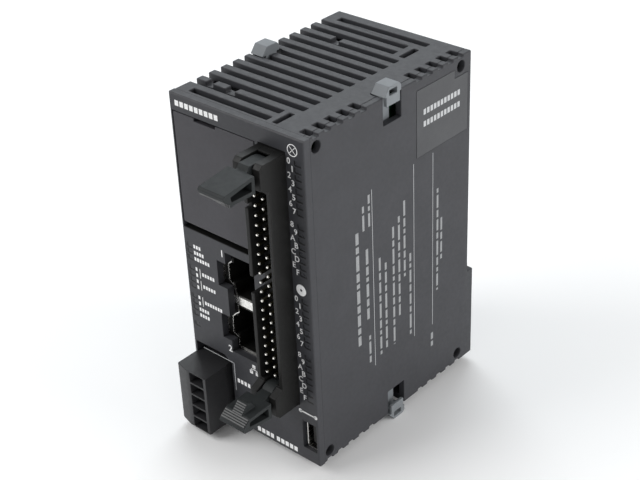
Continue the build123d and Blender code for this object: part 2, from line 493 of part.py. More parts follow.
with BuildPart() as card_socket:
    block((CARD_X[0] - CARD_MARGIN_X, BAY_FLOOR + TRAY_WALL, CARD_Z[0] - CARD_MARGIN_Z),
          (CPU_BOARD_X, BAY_FLOOR + CARD_DEPTH + 2 * OVER, CARD_Z[1] + CARD_MARGIN_Z))
    block((CARD_X[0] + CARD_LIP, BAY_FLOOR, CARD_Z[0] + CARD_LIP),
          (CARD_X[1] - CARD_LIP, BAY_FLOOR + CARD_DEPTH, CARD_Z[1] - CARD_LIP), Mode.SUBTRACT)
finish(card_socket, "card_socket")


# ---------------------------------------------------------------------------
# 40-pin box header, its pins, their tails on the board and its two latches
# ---------------------------------------------------------------------------

def header_point(out, offset, side=1):
    """Point on the YZ plane from a reach out of the panel and an offset along the header."""
    return (FRONT - out, HEADER_Z + side * offset)


with BuildPart() as header_housing:
    outline = [(FRONT - HEADER_BACK, HEADER_END), (POST_OUT - POST_CHAMFER, HEADER_END),
               (POST_OUT, HEADER_END - POST_CHAMFER), (POST_OUT, POST_START), (RIM_OUT, RIM_END)]
    upper = [header_point(out, offset) for out, offset in outline]
    lower = [header_point(out, offset, -1) for out, offset in reversed(outline)]
    prism(Plane.YZ.offset(HEADER_X), upper + lower, HEADER_HALF, both=True)
    block((HEADER_X - SOCKET_HALF, FRONT - POST_OUT - OVER, HEADER_Z - SOCKET_HALF_LENGTH),
          (HEADER_X + SOCKET_HALF, FRONT - SOCKET_FLOOR, HEADER_Z + SOCKET_HALF_LENGTH), Mode.SUBTRACT)
    for side in (1, -1):
        reach = (SOCKET_HALF_LENGTH - GAP, HEADER_END + OVER)
        z_low, z_high = sorted(HEADER_Z + side * offset for offset in reach)
        block((HEADER_X - LATCH_SLOT_HALF, FRONT - POST_OUT - OVER, z_low),
              (HEADER_X + LATCH_SLOT_HALF, FRONT - LATCH_SLOT_FLOOR, z_high), Mode.SUBTRACT)
        pivot_y, pivot_z = header_point(PIVOT_OUT, PIVOT_OFFSET, side)
        rod((HEADER_X - HEADER_HALF + PIVOT_INSET - PIVOT_PLAY, pivot_y, pivot_z), (1, 0, 0),
            PIVOT_RADIUS + PIVOT_FIT, 2 * (HEADER_HALF - PIVOT_INSET + PIVOT_PLAY), Mode.SUBTRACT)
    # Keying notch in the left wall and the small notch near its upper end
    wall_x = (HEADER_X - HEADER_HALF - OVER, HEADER_X - SOCKET_HALF + TOUCH)
    for low, high, floor in ((-KEY_HALF, KEY_HALF, KEY_FLOOR), (*SMALL_NOTCH, SMALL_NOTCH_FLOOR)):
        block((wall_x[0], FRONT - POST_OUT - OVER, HEADER_Z + low),
              (wall_x[1], FRONT - floor, HEADER_Z + high), Mode.SUBTRACT)
    pin_holes = [(x, FRONT, z) for x in PIN_COLUMNS for z in pin_heights()]
    blocks((PIN_SIZE, 2 * (HEADER_BACK - FRONT + OVER), PIN_SIZE), pin_holes, Mode.SUBTRACT)
finish(header_housing, "header_housing")

with BuildPart() as header_pins:
    for x, bend in zip(PIN_COLUMNS, PIN_BENDS):
        tip = FRONT - PIN_OUT
        blocks((PIN_SIZE, bend - tip, PIN_SIZE), [(x, (tip + bend) / 2, z) for z in pin_heights()])
finish(header_pins, "header_pins")

with BuildPart() as header_tails:
    for x, bend in zip(PIN_COLUMNS, PIN_BENDS):
        root = x + PIN_SIZE / 2
        blocks((IO_BOARD_X - root, PIN_SIZE, PIN_SIZE),
               [((root + IO_BOARD_X) / 2, bend - PIN_SIZE / 2, z) for z in pin_heights()])
finish(header_tails, "header_tails")


def latch_layer(points, side, half_width, mode=Mode.ADD):
    """Add or cut one layer of a latch, centred on the header."""
    outline = [header_point(out, offset, side) for out, offset in points]
    prism(Plane.YZ.offset(HEADER_X), outline, half_width, both=True, mode=mode)


for side, name in ((1, "latch_top"), (-1, "latch_bottom")):
    pivot_y, pivot_z = header_point(PIVOT_OUT, PIVOT_OFFSET, side)
    with BuildPart() as latch:
        latch_layer(LEVER_OUTLINE, side, LATCH_HEAD)
        z_low, z_high = HEADER_Z - 2 * HEADER_END, HEADER_Z + 2 * HEADER_END
        for x_low, x_high in ((HEADER_X - LATCH_HEAD - OVER, HEADER_X - LATCH_NECK),
                              (HEADER_X + LATCH_NECK, HEADER_X + LATCH_HEAD + OVER)):
            block((x_low, FRONT - LATCH_SHOULDER, z_low), (x_high, FRONT, z_high), Mode.SUBTRACT)
        latch_layer(LEVER_WINDOW, side, LATCH_HEAD + OVER, Mode.SUBTRACT)
        latch_layer(LEVER_WINDOW, side, WEB_HALF)
        latch_layer(LEVER_STEM, side, STEM_HALF)
        rod((HEADER_X - LATCH_NECK, pivot_y, pivot_z), (1, 0, 0), LEVER_ROUND, 2 * LATCH_NECK)
        toe_z = sorted((HEADER_Z + side * TOE_OFFSET, HEADER_Z + side * PIVOT_OFFSET))
        block((HEADER_X - LATCH_NECK, FRONT - TOE_OUT[1], toe_z[0]),
              (HEADER_X + LATCH_NECK, FRONT - TOE_OUT[0], toe_z[1]))
        rod((HEADER_X - LATCH_NECK - OVER, pivot_y, pivot_z), (1, 0, 0), PIVOT_RADIUS + RUNNING_FIT,
            2 * (LATCH_NECK + OVER), Mode.SUBTRACT)
    finish(latch, name)

with BuildPart() as latch_pins:
    for side in (1, -1):
        pivot_y, pivot_z = header_point(PIVOT_OUT, PIVOT_OFFSET, side)
        rod((HEADER_X - HEADER_HALF + PIVOT_INSET, pivot_y, pivot_z), (1, 0, 0), PIVOT_RADIUS,
            2 * (HEADER_HALF - PIVOT_INSET))
finish(latch_pins, "latch_pins")


# ---------------------------------------------------------------------------
# Twin network jacks: one shield, two inserts, two rows of contacts
# ---------------------------------------------------------------------------

with BuildPart() as jack_shield:
    block((SHIELD_X[0], SHIELD_FRONT, SHIELD_Z[0]), (SHIELD_X[1], SHIELD_BACK, SHIELD_Z[1]))
    block((SHIELD_X[0] + SHEET, SHIELD_FRONT + SHEET, SHIELD_Z[0] + SHEET),
          (SHIELD_X[1] - SHEET, SHIELD_BACK + OVER, SHIELD_Z[1] - SHEET), Mode.SUBTRACT)
    # The front is open but for a bridge between the jacks
    lower, upper = (SHIELD_Z[0] + SHEET, SHIELD_BRIDGE_Z[0]), (SHIELD_BRIDGE_Z[1], SHIELD_Z[1] - SHEET)
    for z_low, z_high in (lower, upper):
        block((SHIELD_X[0] + SHEET, SHIELD_FRONT - OVER, z_low),
              (SHIELD_X[1] - SHEET, SHIELD_FRONT + OVER, z_high), Mode.SUBTRACT)
finish(jack_shield, "jack_shield")

for number, z in enumerate(JACK_CENTRES, start=1):
    insert_front = SHIELD_FRONT + SHEET + TOUCH
    with BuildPart() as jack_insert:
        block((SHIELD_X[0] + SHEET + SNUG, insert_front, z - INSERT_HALF),
              (SHIELD_X[1] - SHEET - SNUG, SHIELD_BACK - SHOULDER, z + INSERT_HALF))
        block((JACK_X[0], SHIELD_FRONT, z - JACK_WIDTH / 2),
              (JACK_X[1], SHIELD_FRONT + JACK_DEPTH, z + JACK_WIDTH / 2), Mode.SUBTRACT)
        block((JACK_NOTCH_X, SHIELD_FRONT, z - JACK_NOTCH_HALF),
              (JACK_X[0] + OVER, SHIELD_FRONT + JACK_NOTCH_DEPTH, z + JACK_NOTCH_HALF), Mode.SUBTRACT)
    finish(jack_insert, f"jack_insert_{number}")

    with BuildPart() as jack_contacts:
        for contact in range(CONTACTS):
            height = z + (contact - (CONTACTS - 1) / 2) * CONTACT_PITCH
            spring = [(JACK_X[1] + inward, SHIELD_FRONT + depth) for inward, depth in CONTACT_SPRING]
            prism(Plane.XY.offset(height), spring, CONTACT_HALF, both=True)
    finish(jack_contacts, f"jack_contacts_{number}")


# ---------------------------------------------------------------------------
# Service socket
# ---------------------------------------------------------------------------

with BuildPart() as usb_shell:
    z_low, z_high = USB_Z[0] + USB_INSET, USB_Z[1] - USB_INSET
    block((USB_SHELL_X[0], FRONT + USB_FRONT, z_low), (USB_SHELL_X[1], FRONT + USB_LENGTH, z_high))
    fillet(usb_shell.edges().filter_by(Axis.Y), USB_CORNER)
    block((USB_SHELL_X[0] + SHEET, FRONT, z_low + SHEET),
          (USB_SHELL_X[1] - SHEET, FRONT + USB_LENGTH - 2 * SHEET, z_high - SHEET), Mode.SUBTRACT)
finish(usb_shell, "usb_shell")

with BuildPart() as usb_tongue:
    middle = sum(USB_SHELL_X) / 2
    block((middle - TONGUE_HALF, FRONT + TONGUE_FRONT, USB_Z[0] + TONGUE_INSET),
          (middle + TONGUE_HALF, FRONT + USB_LENGTH - 2 * SHEET, USB_Z[1] - TONGUE_INSET))
finish(usb_tongue, "usb_tongue")


# ---------------------------------------------------------------------------
# Five-pole connector: board header, pins with their tails and the pull-off plug
# ---------------------------------------------------------------------------

def pole_block(y_range, z, margin=0.0, mode=Mode.ADD):
    """A square bar at one pole's place."""
    half = POLE_SIZE / 2 + margin
    block((POLE_X - half, y_range[0], z - half), (POLE_X + half, y_range[1], z + half), mode)


with BuildPart() as port_header:
    block((PORT_X[0], PLUG_BAY_BACK - LAP, PORT_Z[0]), (PORT_X[1], PLUG_BAY_BACK + PORT_DEPTH, PORT_Z[1]))
    for z in pole_heights():
        pole_block((PLUG_BAY_BACK - OVER, PLUG_BAY_BACK + PIN_TAIL), z, mode=Mode.SUBTRACT)
finish(port_header, "port_header")

with BuildPart() as port_pins:
    for z in pole_heights():
        pole_block((FRONT + PIN_TIP, PLUG_BAY_BACK + PIN_TAIL), z)
finish(port_pins, "port_pins")

with BuildPart() as port_tails:
    for z in pole_heights():
        block((PORT_X[0], PLUG_BAY_BACK + PIN_TAIL - POLE_SIZE, z - POLE_SIZE / 2),
              (POLE_X - POLE_SIZE / 2, PLUG_BAY_BACK + PIN_TAIL, z + POLE_SIZE / 2))
finish(port_tails, "port_tails")

with BuildPart() as plug_body:
    head, neck = FRONT - PLUG_OUT, FRONT - GAP
    footprint = ((PLUG_X[0], neck), (PLUG_X[0], head + PLUG_CHAMFER[1]), (PLUG_X[0] + PLUG_CHAMFER[0], head),
                 (PLUG_X[1], head), (PLUG_X[1], neck), (PLUG_X[1] - PLUG_NECK, neck),
                 (PLUG_X[1] - PLUG_NECK, PLUG_BACK), (PLUG_X[0] + PLUG_NECK, PLUG_BACK),
                 (PLUG_X[0] + PLUG_NECK, neck))
    prism(Plane.XY.offset(PLUG_Z[0]), footprint, PLUG_Z[1] - PLUG_Z[0])
    for z in pole_heights():
        pole_block((FRONT + OVER, PLUG_BACK + OVER), z, POLE_CLEAR, Mode.SUBTRACT)
        block((WINDOW_MIDDLE - WIRE_WINDOW[0] / 2, head - OVER, z - WIRE_WINDOW[1] / 2),
              (WINDOW_MIDDLE + WIRE_WINDOW[0] / 2, CLAMP_Y[1], z + WIRE_WINDOW[1] / 2), Mode.SUBTRACT)
        rod((PLUG_X[0] - OVER, SCREW_Y, z), (1, 0, 0), SCREW_RADIUS + RUNNING_FIT, SCREW_BORE + OVER,
            Mode.SUBTRACT)
finish(plug_body, "plug_body")

with BuildPart() as plug_clamps:
    for z in pole_heights():
        block((WINDOW_MIDDLE - CLAMP_HALF[0], CLAMP_Y[0], z - CLAMP_HALF[1]),
              (WINDOW_MIDDLE + CLAMP_HALF[0], CLAMP_Y[1], z + CLAMP_HALF[1]))
        block((WINDOW_MIDDLE - CLAMP_HOLE_HALF[0], CLAMP_Y[0] - OVER, z - CLAMP_HOLE_HALF[1]),
              (WINDOW_MIDDLE + CLAMP_HOLE_HALF[0], CLAMP_Y[0] + OVER, z + CLAMP_HOLE_HALF[1]), Mode.SUBTRACT)
finish(plug_clamps, "plug_clamps")

with BuildPart() as plug_screws:
    screw_head = PLUG_X[0] + SCREW_SUNK
    for z in pole_heights():
        rod((screw_head, SCREW_Y, z), (1, 0, 0), SCREW_RADIUS, SCREW_LENGTH)
        block((PLUG_X[0], SCREW_Y - SCREW_RADIUS, z - SCREW_SLOT_HALF),
              (screw_head + SCREW_SLOT_DEPTH, SCREW_Y + SCREW_RADIUS, z + SCREW_SLOT_HALF), Mode.SUBTRACT)
finish(plug_screws, "plug_screws")


# ---------------------------------------------------------------------------
# Indicator light pipes and their lamps
# ---------------------------------------------------------------------------

def light_pipe(heights, window_x, bar_x):
    """Rows of flush windows that grow out of one bar behind the front panel."""
    size = (window_x[1] - window_x[0] - WINDOW_PLAY, BEZEL_BACK - FRONT - SNUG, WINDOW_HEIGHT - WINDOW_PLAY)
    blocks(size, [(sum(window_x) / 2, BEZEL_BACK - size[1] / 2, z) for z in heights])
    block((bar_x[0], BEZEL_BACK, min(heights) - PIPE_MARGIN), (bar_x[1], BEZEL_BACK + PIPE_DEPTH,
          max(heights) + PIPE_MARGIN))


def lamps(heights, x_low, x_high):
    """Small lamps on a board, one behind each window."""
    y_mid = BEZEL_BACK + PIPE_DEPTH + LAMP_GAP + LAMP_SIZE[0] / 2
    blocks((x_high - x_low, *LAMP_SIZE), [((x_low + x_high) / 2, y_mid, z) for z in heights])


lamp_x = IO_BOARD_X + BOARD
for name, starts in (("input", INPUT_STARTS), ("output", OUTPUT_STARTS)):
    with BuildPart() as pipe:
        light_pipe(window_heights(starts), WINDOW_X, (lamp_x + SHOULDER, WINDOW_X[1]))
    finish(pipe, f"{name}_light_pipe")
    with BuildPart() as lamp_row:
        lamps(window_heights(starts), lamp_x, lamp_x + LAMP_REACH)
    finish(lamp_row, f"{name}_lamps")

with BuildPart() as status_light_pipe:
    light_pipe(status_heights(), STATUS_X, (TRAY_LEFT, LEFT_BOARD_X - LAP))
finish(status_light_pipe, "status_light_pipe")

with BuildPart() as status_lamps:
    lamps(status_heights(), LEFT_BOARD_X - BOARD, LEFT_BOARD_X)
finish(status_lamps, "status_lamps")


# ---------------------------------------------------------------------------
# Circuit boards and what they carry
# ---------------------------------------------------------------------------

with BuildPart() as io_board:
    block((IO_BOARD_X, BEZEL_BACK + SLIM, -BOARD_HALF), (IO_BOARD_X + BOARD, BOARD_BACK, BOARD_HALF))
finish(io_board, "io_board")

with BuildPart() as cpu_board:
    block((CPU_BOARD_X, BOARD_FRONT, -BOARD_HALF), (CPU_BOARD_X + BOARD, BOARD_BACK, BOARD_HALF))
finish(cpu_board, "cpu_board")

with BuildPart() as communication_board:
    x_low, x_high = LEFT_BOARD_X, LEFT_BOARD_X + BOARD
    block((x_low, BEZEL_BACK + PIPE_DEPTH + SLIM, -BOARD_HALF), (x_high, BOARD_BACK, LEFT_BOARD_TOP))
    # Notches round the plug bay and the lower left hook
    block((x_low - OVER, BEZEL_BACK, -BOARD_HALF - OVER), (x_high + OVER, CORNER_BACK + SLIM,
          PLUG_BAY_TOP + TRAY_WALL + SLIM), Mode.SUBTRACT)
    block((x_low - OVER, HOOK_Y[0] - OVER, -BOARD_HALF - OVER),
          (x_high + OVER, HOOK_Y[1] + OVER, HOOK_NOTCH_TOP), Mode.SUBTRACT)
finish(communication_board, "communication_board")

with BuildPart() as board_connector:
    block((CPU_BOARD_X + BOARD, CONNECTOR_Y[0], CONNECTOR_Z[0]), (IO_BOARD_X, CONNECTOR_Y[1], CONNECTOR_Z[1]))
finish(board_connector, "board_connector")

with BuildPart() as board_bridge:
    block((LEFT_BOARD_X + BOARD, BRIDGE_Y[0], BRIDGE_Z[0]), (CPU_BOARD_X, BRIDGE_Y[1], BRIDGE_Z[1]))
finish(board_bridge, "board_bridge")

with BuildPart() as processor_chip:
    block((CPU_BOARD_X - CHIP_DEPTH, CHIP_Y[0], CHIP_Z[0]), (CPU_BOARD_X, CHIP_Y[1], CHIP_Z[1]))
finish(processor_chip, "processor_chip")

with BuildPart() as power_capacitors:
    for z in CAPACITOR_HEIGHTS:
        rod((IO_BOARD_X - CAPACITOR_LENGTH, CAPACITOR_Y, z), (1, 0, 0), CAPACITOR_RADIUS, CAPACITOR_LENGTH)
finish(power_capacitors, "power_capacitors")

with BuildPart() as power_inductor:
    block((IO_BOARD_X - INDUCTOR_DEPTH, INDUCTOR_Y[0], INDUCTOR_Z[0]),
          (IO_BOARD_X, INDUCTOR_Y[1], INDUCTOR_Z[1]))
finish(power_inductor, "power_inductor")

with BuildPart() as output_transistors:
    for z in TRANSISTOR_HEIGHTS:
        block((IO_BOARD_X - TRANSISTOR_DEPTH, TRANSISTOR_Y[0], z - TRANSISTOR_HALF),
              (IO_BOARD_X, TRANSISTOR_Y[1], z + TRANSISTOR_HALF))
finish(output_transistors, "output_transistors")

with BuildPart() as expansion_connector:
    block((IO_BOARD_X + BOARD, EXPANSION_Y[0], EXPANSION_Z[0]),
          (RIGHT - SEAL_THICKNESS - SLIM, EXPANSION_Y[1], EXPANSION_Z[1]))
    for y in EXPANSION_ROWS:
        block((RIGHT - EXPANSION_SLOT_DEPTH, y - EXPANSION_SLOT_HALF, EXPANSION_Z[0] + OVER),
              (RIGHT, y + EXPANSION_SLOT_HALF, EXPANSION_Z[1] - OVER), Mode.SUBTRACT)
finish(expansion_connector, "expansion_connector")


# ---------------------------------------------------------------------------
# Four expansion hooks: they slide out of the top and bottom walls
# ---------------------------------------------------------------------------

def hook(outer_x, side_x, side_z):
    """One hook; side_x points from its leg to its outer wall, side_z away from the case."""
    inner_x = outer_x - side_x * HOOK_WIDTH
    front, rear = HOOK_Y

    def part_block(reach_x, y, z, mode=Mode.ADD):
        x_low, x_high = sorted(inner_x + side_x * reach for reach in reach_x)
        z_low, z_high = sorted(side_z * (TOP + height) for height in z)
        block((x_low, y[0], z_low), (x_high, y[1], z_high), mode)

    outline = ((front, HOOK_CLEAR), (front + HOOK_NOSE, HOOK_RISE), (rear - HOOK_TAIL, HOOK_RISE),
               (rear, HOOK_RISE - HOOK_TAIL_DROP), (rear, HOOK_CLEAR))
    prism(Plane.YZ.offset(min(inner_x, outer_x)), [(y, side_z * (TOP + height)) for y, height in outline],
          HOOK_WIDTH)
    # Hollow under the roof, then the loop that hangs down the side and the leg inside the case
    loop_y = (front + HOOK_TAIL, rear - HOOK_TAIL + LAP)
    hollow_y = (loop_y[0] + OVER, loop_y[1] - OVER)
    outer_skin = (HOOK_WIDTH - HOOK_SKIN, HOOK_WIDTH)
    part_block((HOOK_SKIN, HOOK_WIDTH + OVER), hollow_y, (HOOK_CLEAR - OVER, HOOK_RISE - HOOK_TAIL_DROP),
               Mode.SUBTRACT)
    part_block(outer_skin, (loop_y[0], hollow_y[0]), (-HOOK_LOOP_DROP, HOOK_CLEAR + HOOK_TAIL_DROP))
    part_block(outer_skin, (hollow_y[1], loop_y[1]), (-HOOK_LOOP_DROP, HOOK_CLEAR + HOOK_TAIL_DROP))
    part_block(outer_skin, loop_y, (-HOOK_LOOP_DROP, HOOK_CLEAR))
    part_block((0, HOOK_LEG_WIDTH), (front + HOOK_LEG_WIDTH, rear - OVER), (-HOOK_LEG, HOOK_SKIN))


for name, outer_x, side_x, side_z in (("hook_right_top", HOOK_RIGHT_X, 1, 1),
                                      ("hook_right_bottom", HOOK_RIGHT_X, 1, -1),
                                      ("hook_left_top", HOOK_LEFT_X, -1, 1),
                                      ("hook_left_bottom", HOOK_LEFT_X, -1, -1)):
    with BuildPart() as hook_part:
        hook(outer_x, side_x, side_z)
    finish(hook_part, name)
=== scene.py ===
import json
import math

import bmesh
import bpy
from mathutils import Matrix, Vector


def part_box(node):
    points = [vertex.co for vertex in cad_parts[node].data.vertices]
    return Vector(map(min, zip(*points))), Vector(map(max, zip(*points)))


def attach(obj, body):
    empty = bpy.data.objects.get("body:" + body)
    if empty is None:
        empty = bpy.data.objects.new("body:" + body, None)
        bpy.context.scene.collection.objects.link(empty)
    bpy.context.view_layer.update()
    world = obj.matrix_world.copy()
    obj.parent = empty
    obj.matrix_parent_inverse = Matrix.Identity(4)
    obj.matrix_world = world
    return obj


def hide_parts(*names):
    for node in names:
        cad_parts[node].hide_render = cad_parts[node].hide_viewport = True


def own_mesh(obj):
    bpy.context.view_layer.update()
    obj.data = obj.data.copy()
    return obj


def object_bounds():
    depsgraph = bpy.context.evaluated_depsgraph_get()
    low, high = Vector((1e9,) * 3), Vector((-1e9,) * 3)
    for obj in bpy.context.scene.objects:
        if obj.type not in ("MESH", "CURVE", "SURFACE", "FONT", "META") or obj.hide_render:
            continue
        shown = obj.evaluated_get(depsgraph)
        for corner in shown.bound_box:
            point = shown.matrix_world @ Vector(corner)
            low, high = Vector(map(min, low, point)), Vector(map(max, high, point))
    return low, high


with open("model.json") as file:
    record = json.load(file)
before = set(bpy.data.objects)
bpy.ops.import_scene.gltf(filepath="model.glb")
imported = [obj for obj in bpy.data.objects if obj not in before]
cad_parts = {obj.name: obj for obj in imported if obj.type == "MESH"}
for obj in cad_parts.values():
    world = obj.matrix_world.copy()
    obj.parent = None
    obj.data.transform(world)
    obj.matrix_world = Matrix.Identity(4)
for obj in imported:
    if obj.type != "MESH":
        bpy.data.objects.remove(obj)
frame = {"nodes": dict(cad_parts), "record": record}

CAD_BOX = [list(corner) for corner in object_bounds()]
MM = 0.001
NODES = frame["nodes"]
BODY_OF = {node: body for body, nodes in frame["record"]["behaviour"]["bodies"].items() for node in nodes}


def span(node):
    """Lowest and highest corners of a CAD node, in millimetres."""
    low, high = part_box(node)
    return Vector(low) / MM, Vector(high) / MM


# ---------------------------------------------------------------------------
# Materials
# ---------------------------------------------------------------------------

def grey(value, tint=(1.0, 1.0, 1.0)):
    """A linear colour from a grey value and a tint."""
    return tuple(value * part for part in tint) + (1.0,)


RAMP_LOW, RAMP_HIGH = 0.35, 0.65          # noise values at which a ramp reaches its end colours
NOISE_LOW, NOISE_HIGH = 0.3, 0.7          # noise values spread over a roughness range


class Finish:
    """A procedural material with varied colour, varied roughness and fine relief from object coordinates."""

    def __init__(self, name, metallic=0.0, specular=0.5, coat=0.0):
        """Start from a plain surface whose textures follow the object's own coordinates."""
        self.material = bpy.data.materials.new(name)
        self.material.use_nodes = True
        self.nodes = self.material.node_tree.nodes
        self.links = self.material.node_tree.links
        self.shader = self.nodes["Principled BSDF"]
        self.shader.inputs["Metallic"].default_value = metallic
        self.shader.inputs["Specular IOR Level"].default_value = specular
        self.shader.inputs["Coat Weight"].default_value = coat
        self.place = self.nodes.new("ShaderNodeTexCoord").outputs["Object"]

    def noise(self, scale, detail=3.0, stretch=(1.0, 1.0, 1.0)):
        """Noise whose features are about 1/scale of a metre."""
        mapping = self.nodes.new("ShaderNodeMapping")
        mapping.inputs["Scale"].default_value = stretch
        texture = self.nodes.new("ShaderNodeTexNoise")
        texture.inputs["Scale"].default_value = scale
        texture.inputs["Detail"].default_value = detail
        self.links.new(self.place, mapping.inputs["Vector"])
        self.links.new(mapping.outputs["Vector"], texture.inputs["Vector"])
        return texture.outputs["Fac"]

    def ramp(self, value, low, high, dark=RAMP_LOW, light=RAMP_HIGH):
        """A value turned into a colour between low and high."""
        ramp = self.nodes.new("ShaderNodeValToRGB")
        ramp.color_ramp.elements[0].position = dark
        ramp.color_ramp.elements[0].color = low
        ramp.color_ramp.elements[1].position = light
        ramp.color_ramp.elements[1].color = high
        self.links.new(value, ramp.inputs["Fac"])
        return ramp.outputs["Color"]

    def colour(self, value, low, high, dark=RAMP_LOW, light=RAMP_HIGH):
        """Let a value vary the base colour."""
        self.links.new(self.ramp(value, low, high, dark, light), self.shader.inputs["Base Color"])

    def roughness(self, value, low, high):
        """Let a value vary the roughness."""
        spread = self.nodes.new("ShaderNodeMapRange")
        spread.inputs["From Min"].default_value = NOISE_LOW
        spread.inputs["From Max"].default_value = NOISE_HIGH
        spread.inputs["To Min"].default_value = low
        spread.inputs["To Max"].default_value = high
        self.links.new(value, spread.inputs["Value"])
        self.links.new(spread.outputs["Result"], self.shader.inputs["Roughness"])

    def relief(self, value, strength, depth_mm):
        """Raise and sink the surface with a value."""
        bump = self.nodes.new("ShaderNodeBump")
        bump.inputs["Strength"].default_value = strength
        bump.inputs["Distance"].default_value = depth_mm * MM
        self.links.new(value, bump.inputs["Height"])
        self.links.new(bump.outputs["Normal"], self.shader.inputs["Normal"])


CLOUDS, CLOUD_DETAIL, CLOUD_DEPTH = 140.0, 5.0, 0.06
GLOSS, GLOSS_SPREAD = 900.0, 0.05
GRAIN, GRAIN_DETAIL, GRAIN_DEPTH = 5200.0, 2.0, 0.02


def moulded(name, value, tint, rough, relief=0.25, specular=0.3, grain=GRAIN):
    """Moulded plastic: faint cloudiness, a fine spark-eroded grain and slightly uneven gloss."""
    finish = Finish(name, specular=specular)
    darker, lighter = grey(value * (1 - CLOUD_DEPTH), tint), grey(value * (1 + CLOUD_DEPTH), tint)
    finish.colour(finish.noise(CLOUDS, CLOUD_DETAIL), darker, lighter)
    finish.roughness(finish.noise(GLOSS), rough - GLOSS_SPREAD, rough + GLOSS_SPREAD)
    finish.relief(finish.noise(grain, GRAIN_DETAIL), relief, GRAIN_DEPTH)
    return finish.material


STREAKS, STREAK_DETAIL, STREAK_SHADE, STREAK_RELIEF, STREAK_DEPTH = 2500.0, 4.0, 0.8, 0.12, 0.005
STREAK_GLOSS = (0.7, 1.3)                # share of the roughness in and between the streaks


def metal(name, colour, rough, brushed=(1.0, 1.0, 1.0)):
    """Plated or rolled metal with faint streaks."""
    finish = Finish(name, metallic=1.0)
    streaks = finish.noise(STREAKS, STREAK_DETAIL, brushed)
    darker = tuple(part * STREAK_SHADE for part in colour[:3]) + (1.0,)
    finish.colour(streaks, darker, colour)
    finish.roughness(streaks, rough * STREAK_GLOSS[0], rough * STREAK_GLOSS[1])
    finish.relief(streaks, STREAK_RELIEF, STREAK_DEPTH)
    return finish.material


MASK_OVER_COPPER, MASK_OVER_BOARD = (0.02, 0.13, 0.05, 1), (0.008, 0.06, 0.022, 1)
RUN_SCALE, RUN_EDGES, RUN_DEPTH = 420.0, (0.03, 0.07), 0.03
MASK_GLOSS_SCALE, MASK_ROUGHNESS, MASK_RELIEF, MASK_COAT = 1500.0, (0.3, 0.42), 0.3, 0.3


def circuit_board(name):
    """Green solder mask with copper runs that show faintly through it."""
    finish = Finish(name, coat=MASK_COAT)
    runs = finish.nodes.new("ShaderNodeTexVoronoi")
    runs.feature = "DISTANCE_TO_EDGE"
    runs.inputs["Scale"].default_value = RUN_SCALE
    finish.links.new(finish.place, runs.inputs["Vector"])
    finish.colour(runs.outputs["Distance"], MASK_OVER_COPPER, MASK_OVER_BOARD, *RUN_EDGES)
    finish.roughness(finish.noise(MASK_GLOSS_SCALE), *MASK_ROUGHNESS)
    finish.relief(runs.outputs["Distance"], MASK_RELIEF, RUN_DEPTH)
    return finish.material


INK_COVER, INK_SHADE, INK_SPECULAR = 3000.0, 0.85, 0.2
INK_GLOSS_SCALE, INK_ROUGHNESS, INK_GRAIN, INK_RELIEF, INK_DEPTH = 2000.0, (0.55, 0.7), 6000.0, 0.1, 0.004


def printed(name, value, tint=(1.0, 1.0, 1.0)):
    """Printing ink: opaque, matt, with slightly uneven cover."""
    finish = Finish(name, specular=INK_SPECULAR)
    finish.colour(finish.noise(INK_COVER), grey(value * INK_SHADE, tint), grey(value, tint))
    finish.roughness(finish.noise(INK_GLOSS_SCALE), *INK_ROUGHNESS)
    finish.relief(finish.noise(INK_GRAIN), INK_RELIEF, INK_DEPTH)
    return finish.material


FLOOR_CLOUDS, FLOOR_TONES, FLOOR_GLOSS_SCALE, FLOOR_ROUGHNESS = 3.0, (0.93, 0.96), 8.0, (0.85, 0.95)
FLOOR_SPECULAR = 0.1


def pale_floor(name):
    """Matt pale paper under the object."""
    finish = Finish(name, specular=FLOOR_SPECULAR)
    finish.colour(finish.noise(FLOOR_CLOUDS), *[grey(tone) for tone in FLOOR_TONES])
    finish.roughness(finish.noise(FLOOR_GLOSS_SCALE), *FLOOR_ROUGHNESS)
    return finish.material


SLATE = (0.95, 0.97, 1.09)
CASE = moulded("case_plastic", 0.040, SLATE, 0.50)
DOOR = moulded("door_plastic", 0.043, (0.98, 0.95, 1.09), 0.46)
HEADER = moulded("header_plastic", 0.011, (1.0, 1.0, 0.98), 0.45, specular=0.18, relief=0.12)
GRIP = moulded("grip_plastic", 0.025, (0.92, 1.03, 1.06), 0.52, specular=0.16, relief=0.1)
# Painted highlight: the ridge plastic is a lighter copy of the grip plastic, standing in for the light that
# the up-facing finger faces catch
RIDGE_HIGHLIGHT = moulded("ridge_plastic_painted_highlight", 0.085, (0.98, 1.0, 1.01), 0.46, specular=0.4, relief=0.1)
PLUG = moulded("plug_plastic", 0.025, (0.98, 0.98, 1.05), 0.42, relief=0.12)
BLACK = moulded("black_plastic", 0.007, (1.0, 1.0, 0.92), 0.4, relief=0.1)
HOOK = moulded("hook_plastic", 0.195, (0.92, 0.99, 1.05), 0.5, relief=0.15)
LEVER = moulded("lever_plastic", 0.036, SLATE, 0.48)
SEAL = moulded("seal_film", 0.060, (0.96, 0.98, 1.05), 0.38, relief=0.1, grain=3000.0)
WINDOW = moulded("smoked_window", 0.036, SLATE, 0.3, relief=0.05)
LAMP = moulded("lamp_body", 0.6, (1.0, 0.95, 0.75), 0.25, relief=0.05)
CHIP = moulded("chip_epoxy", 0.02, (1.0, 1.0, 1.0), 0.5)
SWITCH = moulded("switch_plastic", 0.55, (1.0, 1.0, 0.98), 0.4, relief=0.1)
BOARD = circuit_board("circuit_board")
CAN = metal("aluminium_can", (0.62, 0.63, 0.65, 1), 0.35, (1.0, 1.0, 0.05))
GOLD = metal("gold_plate", (0.98, 0.92, 0.74, 1), 0.30)
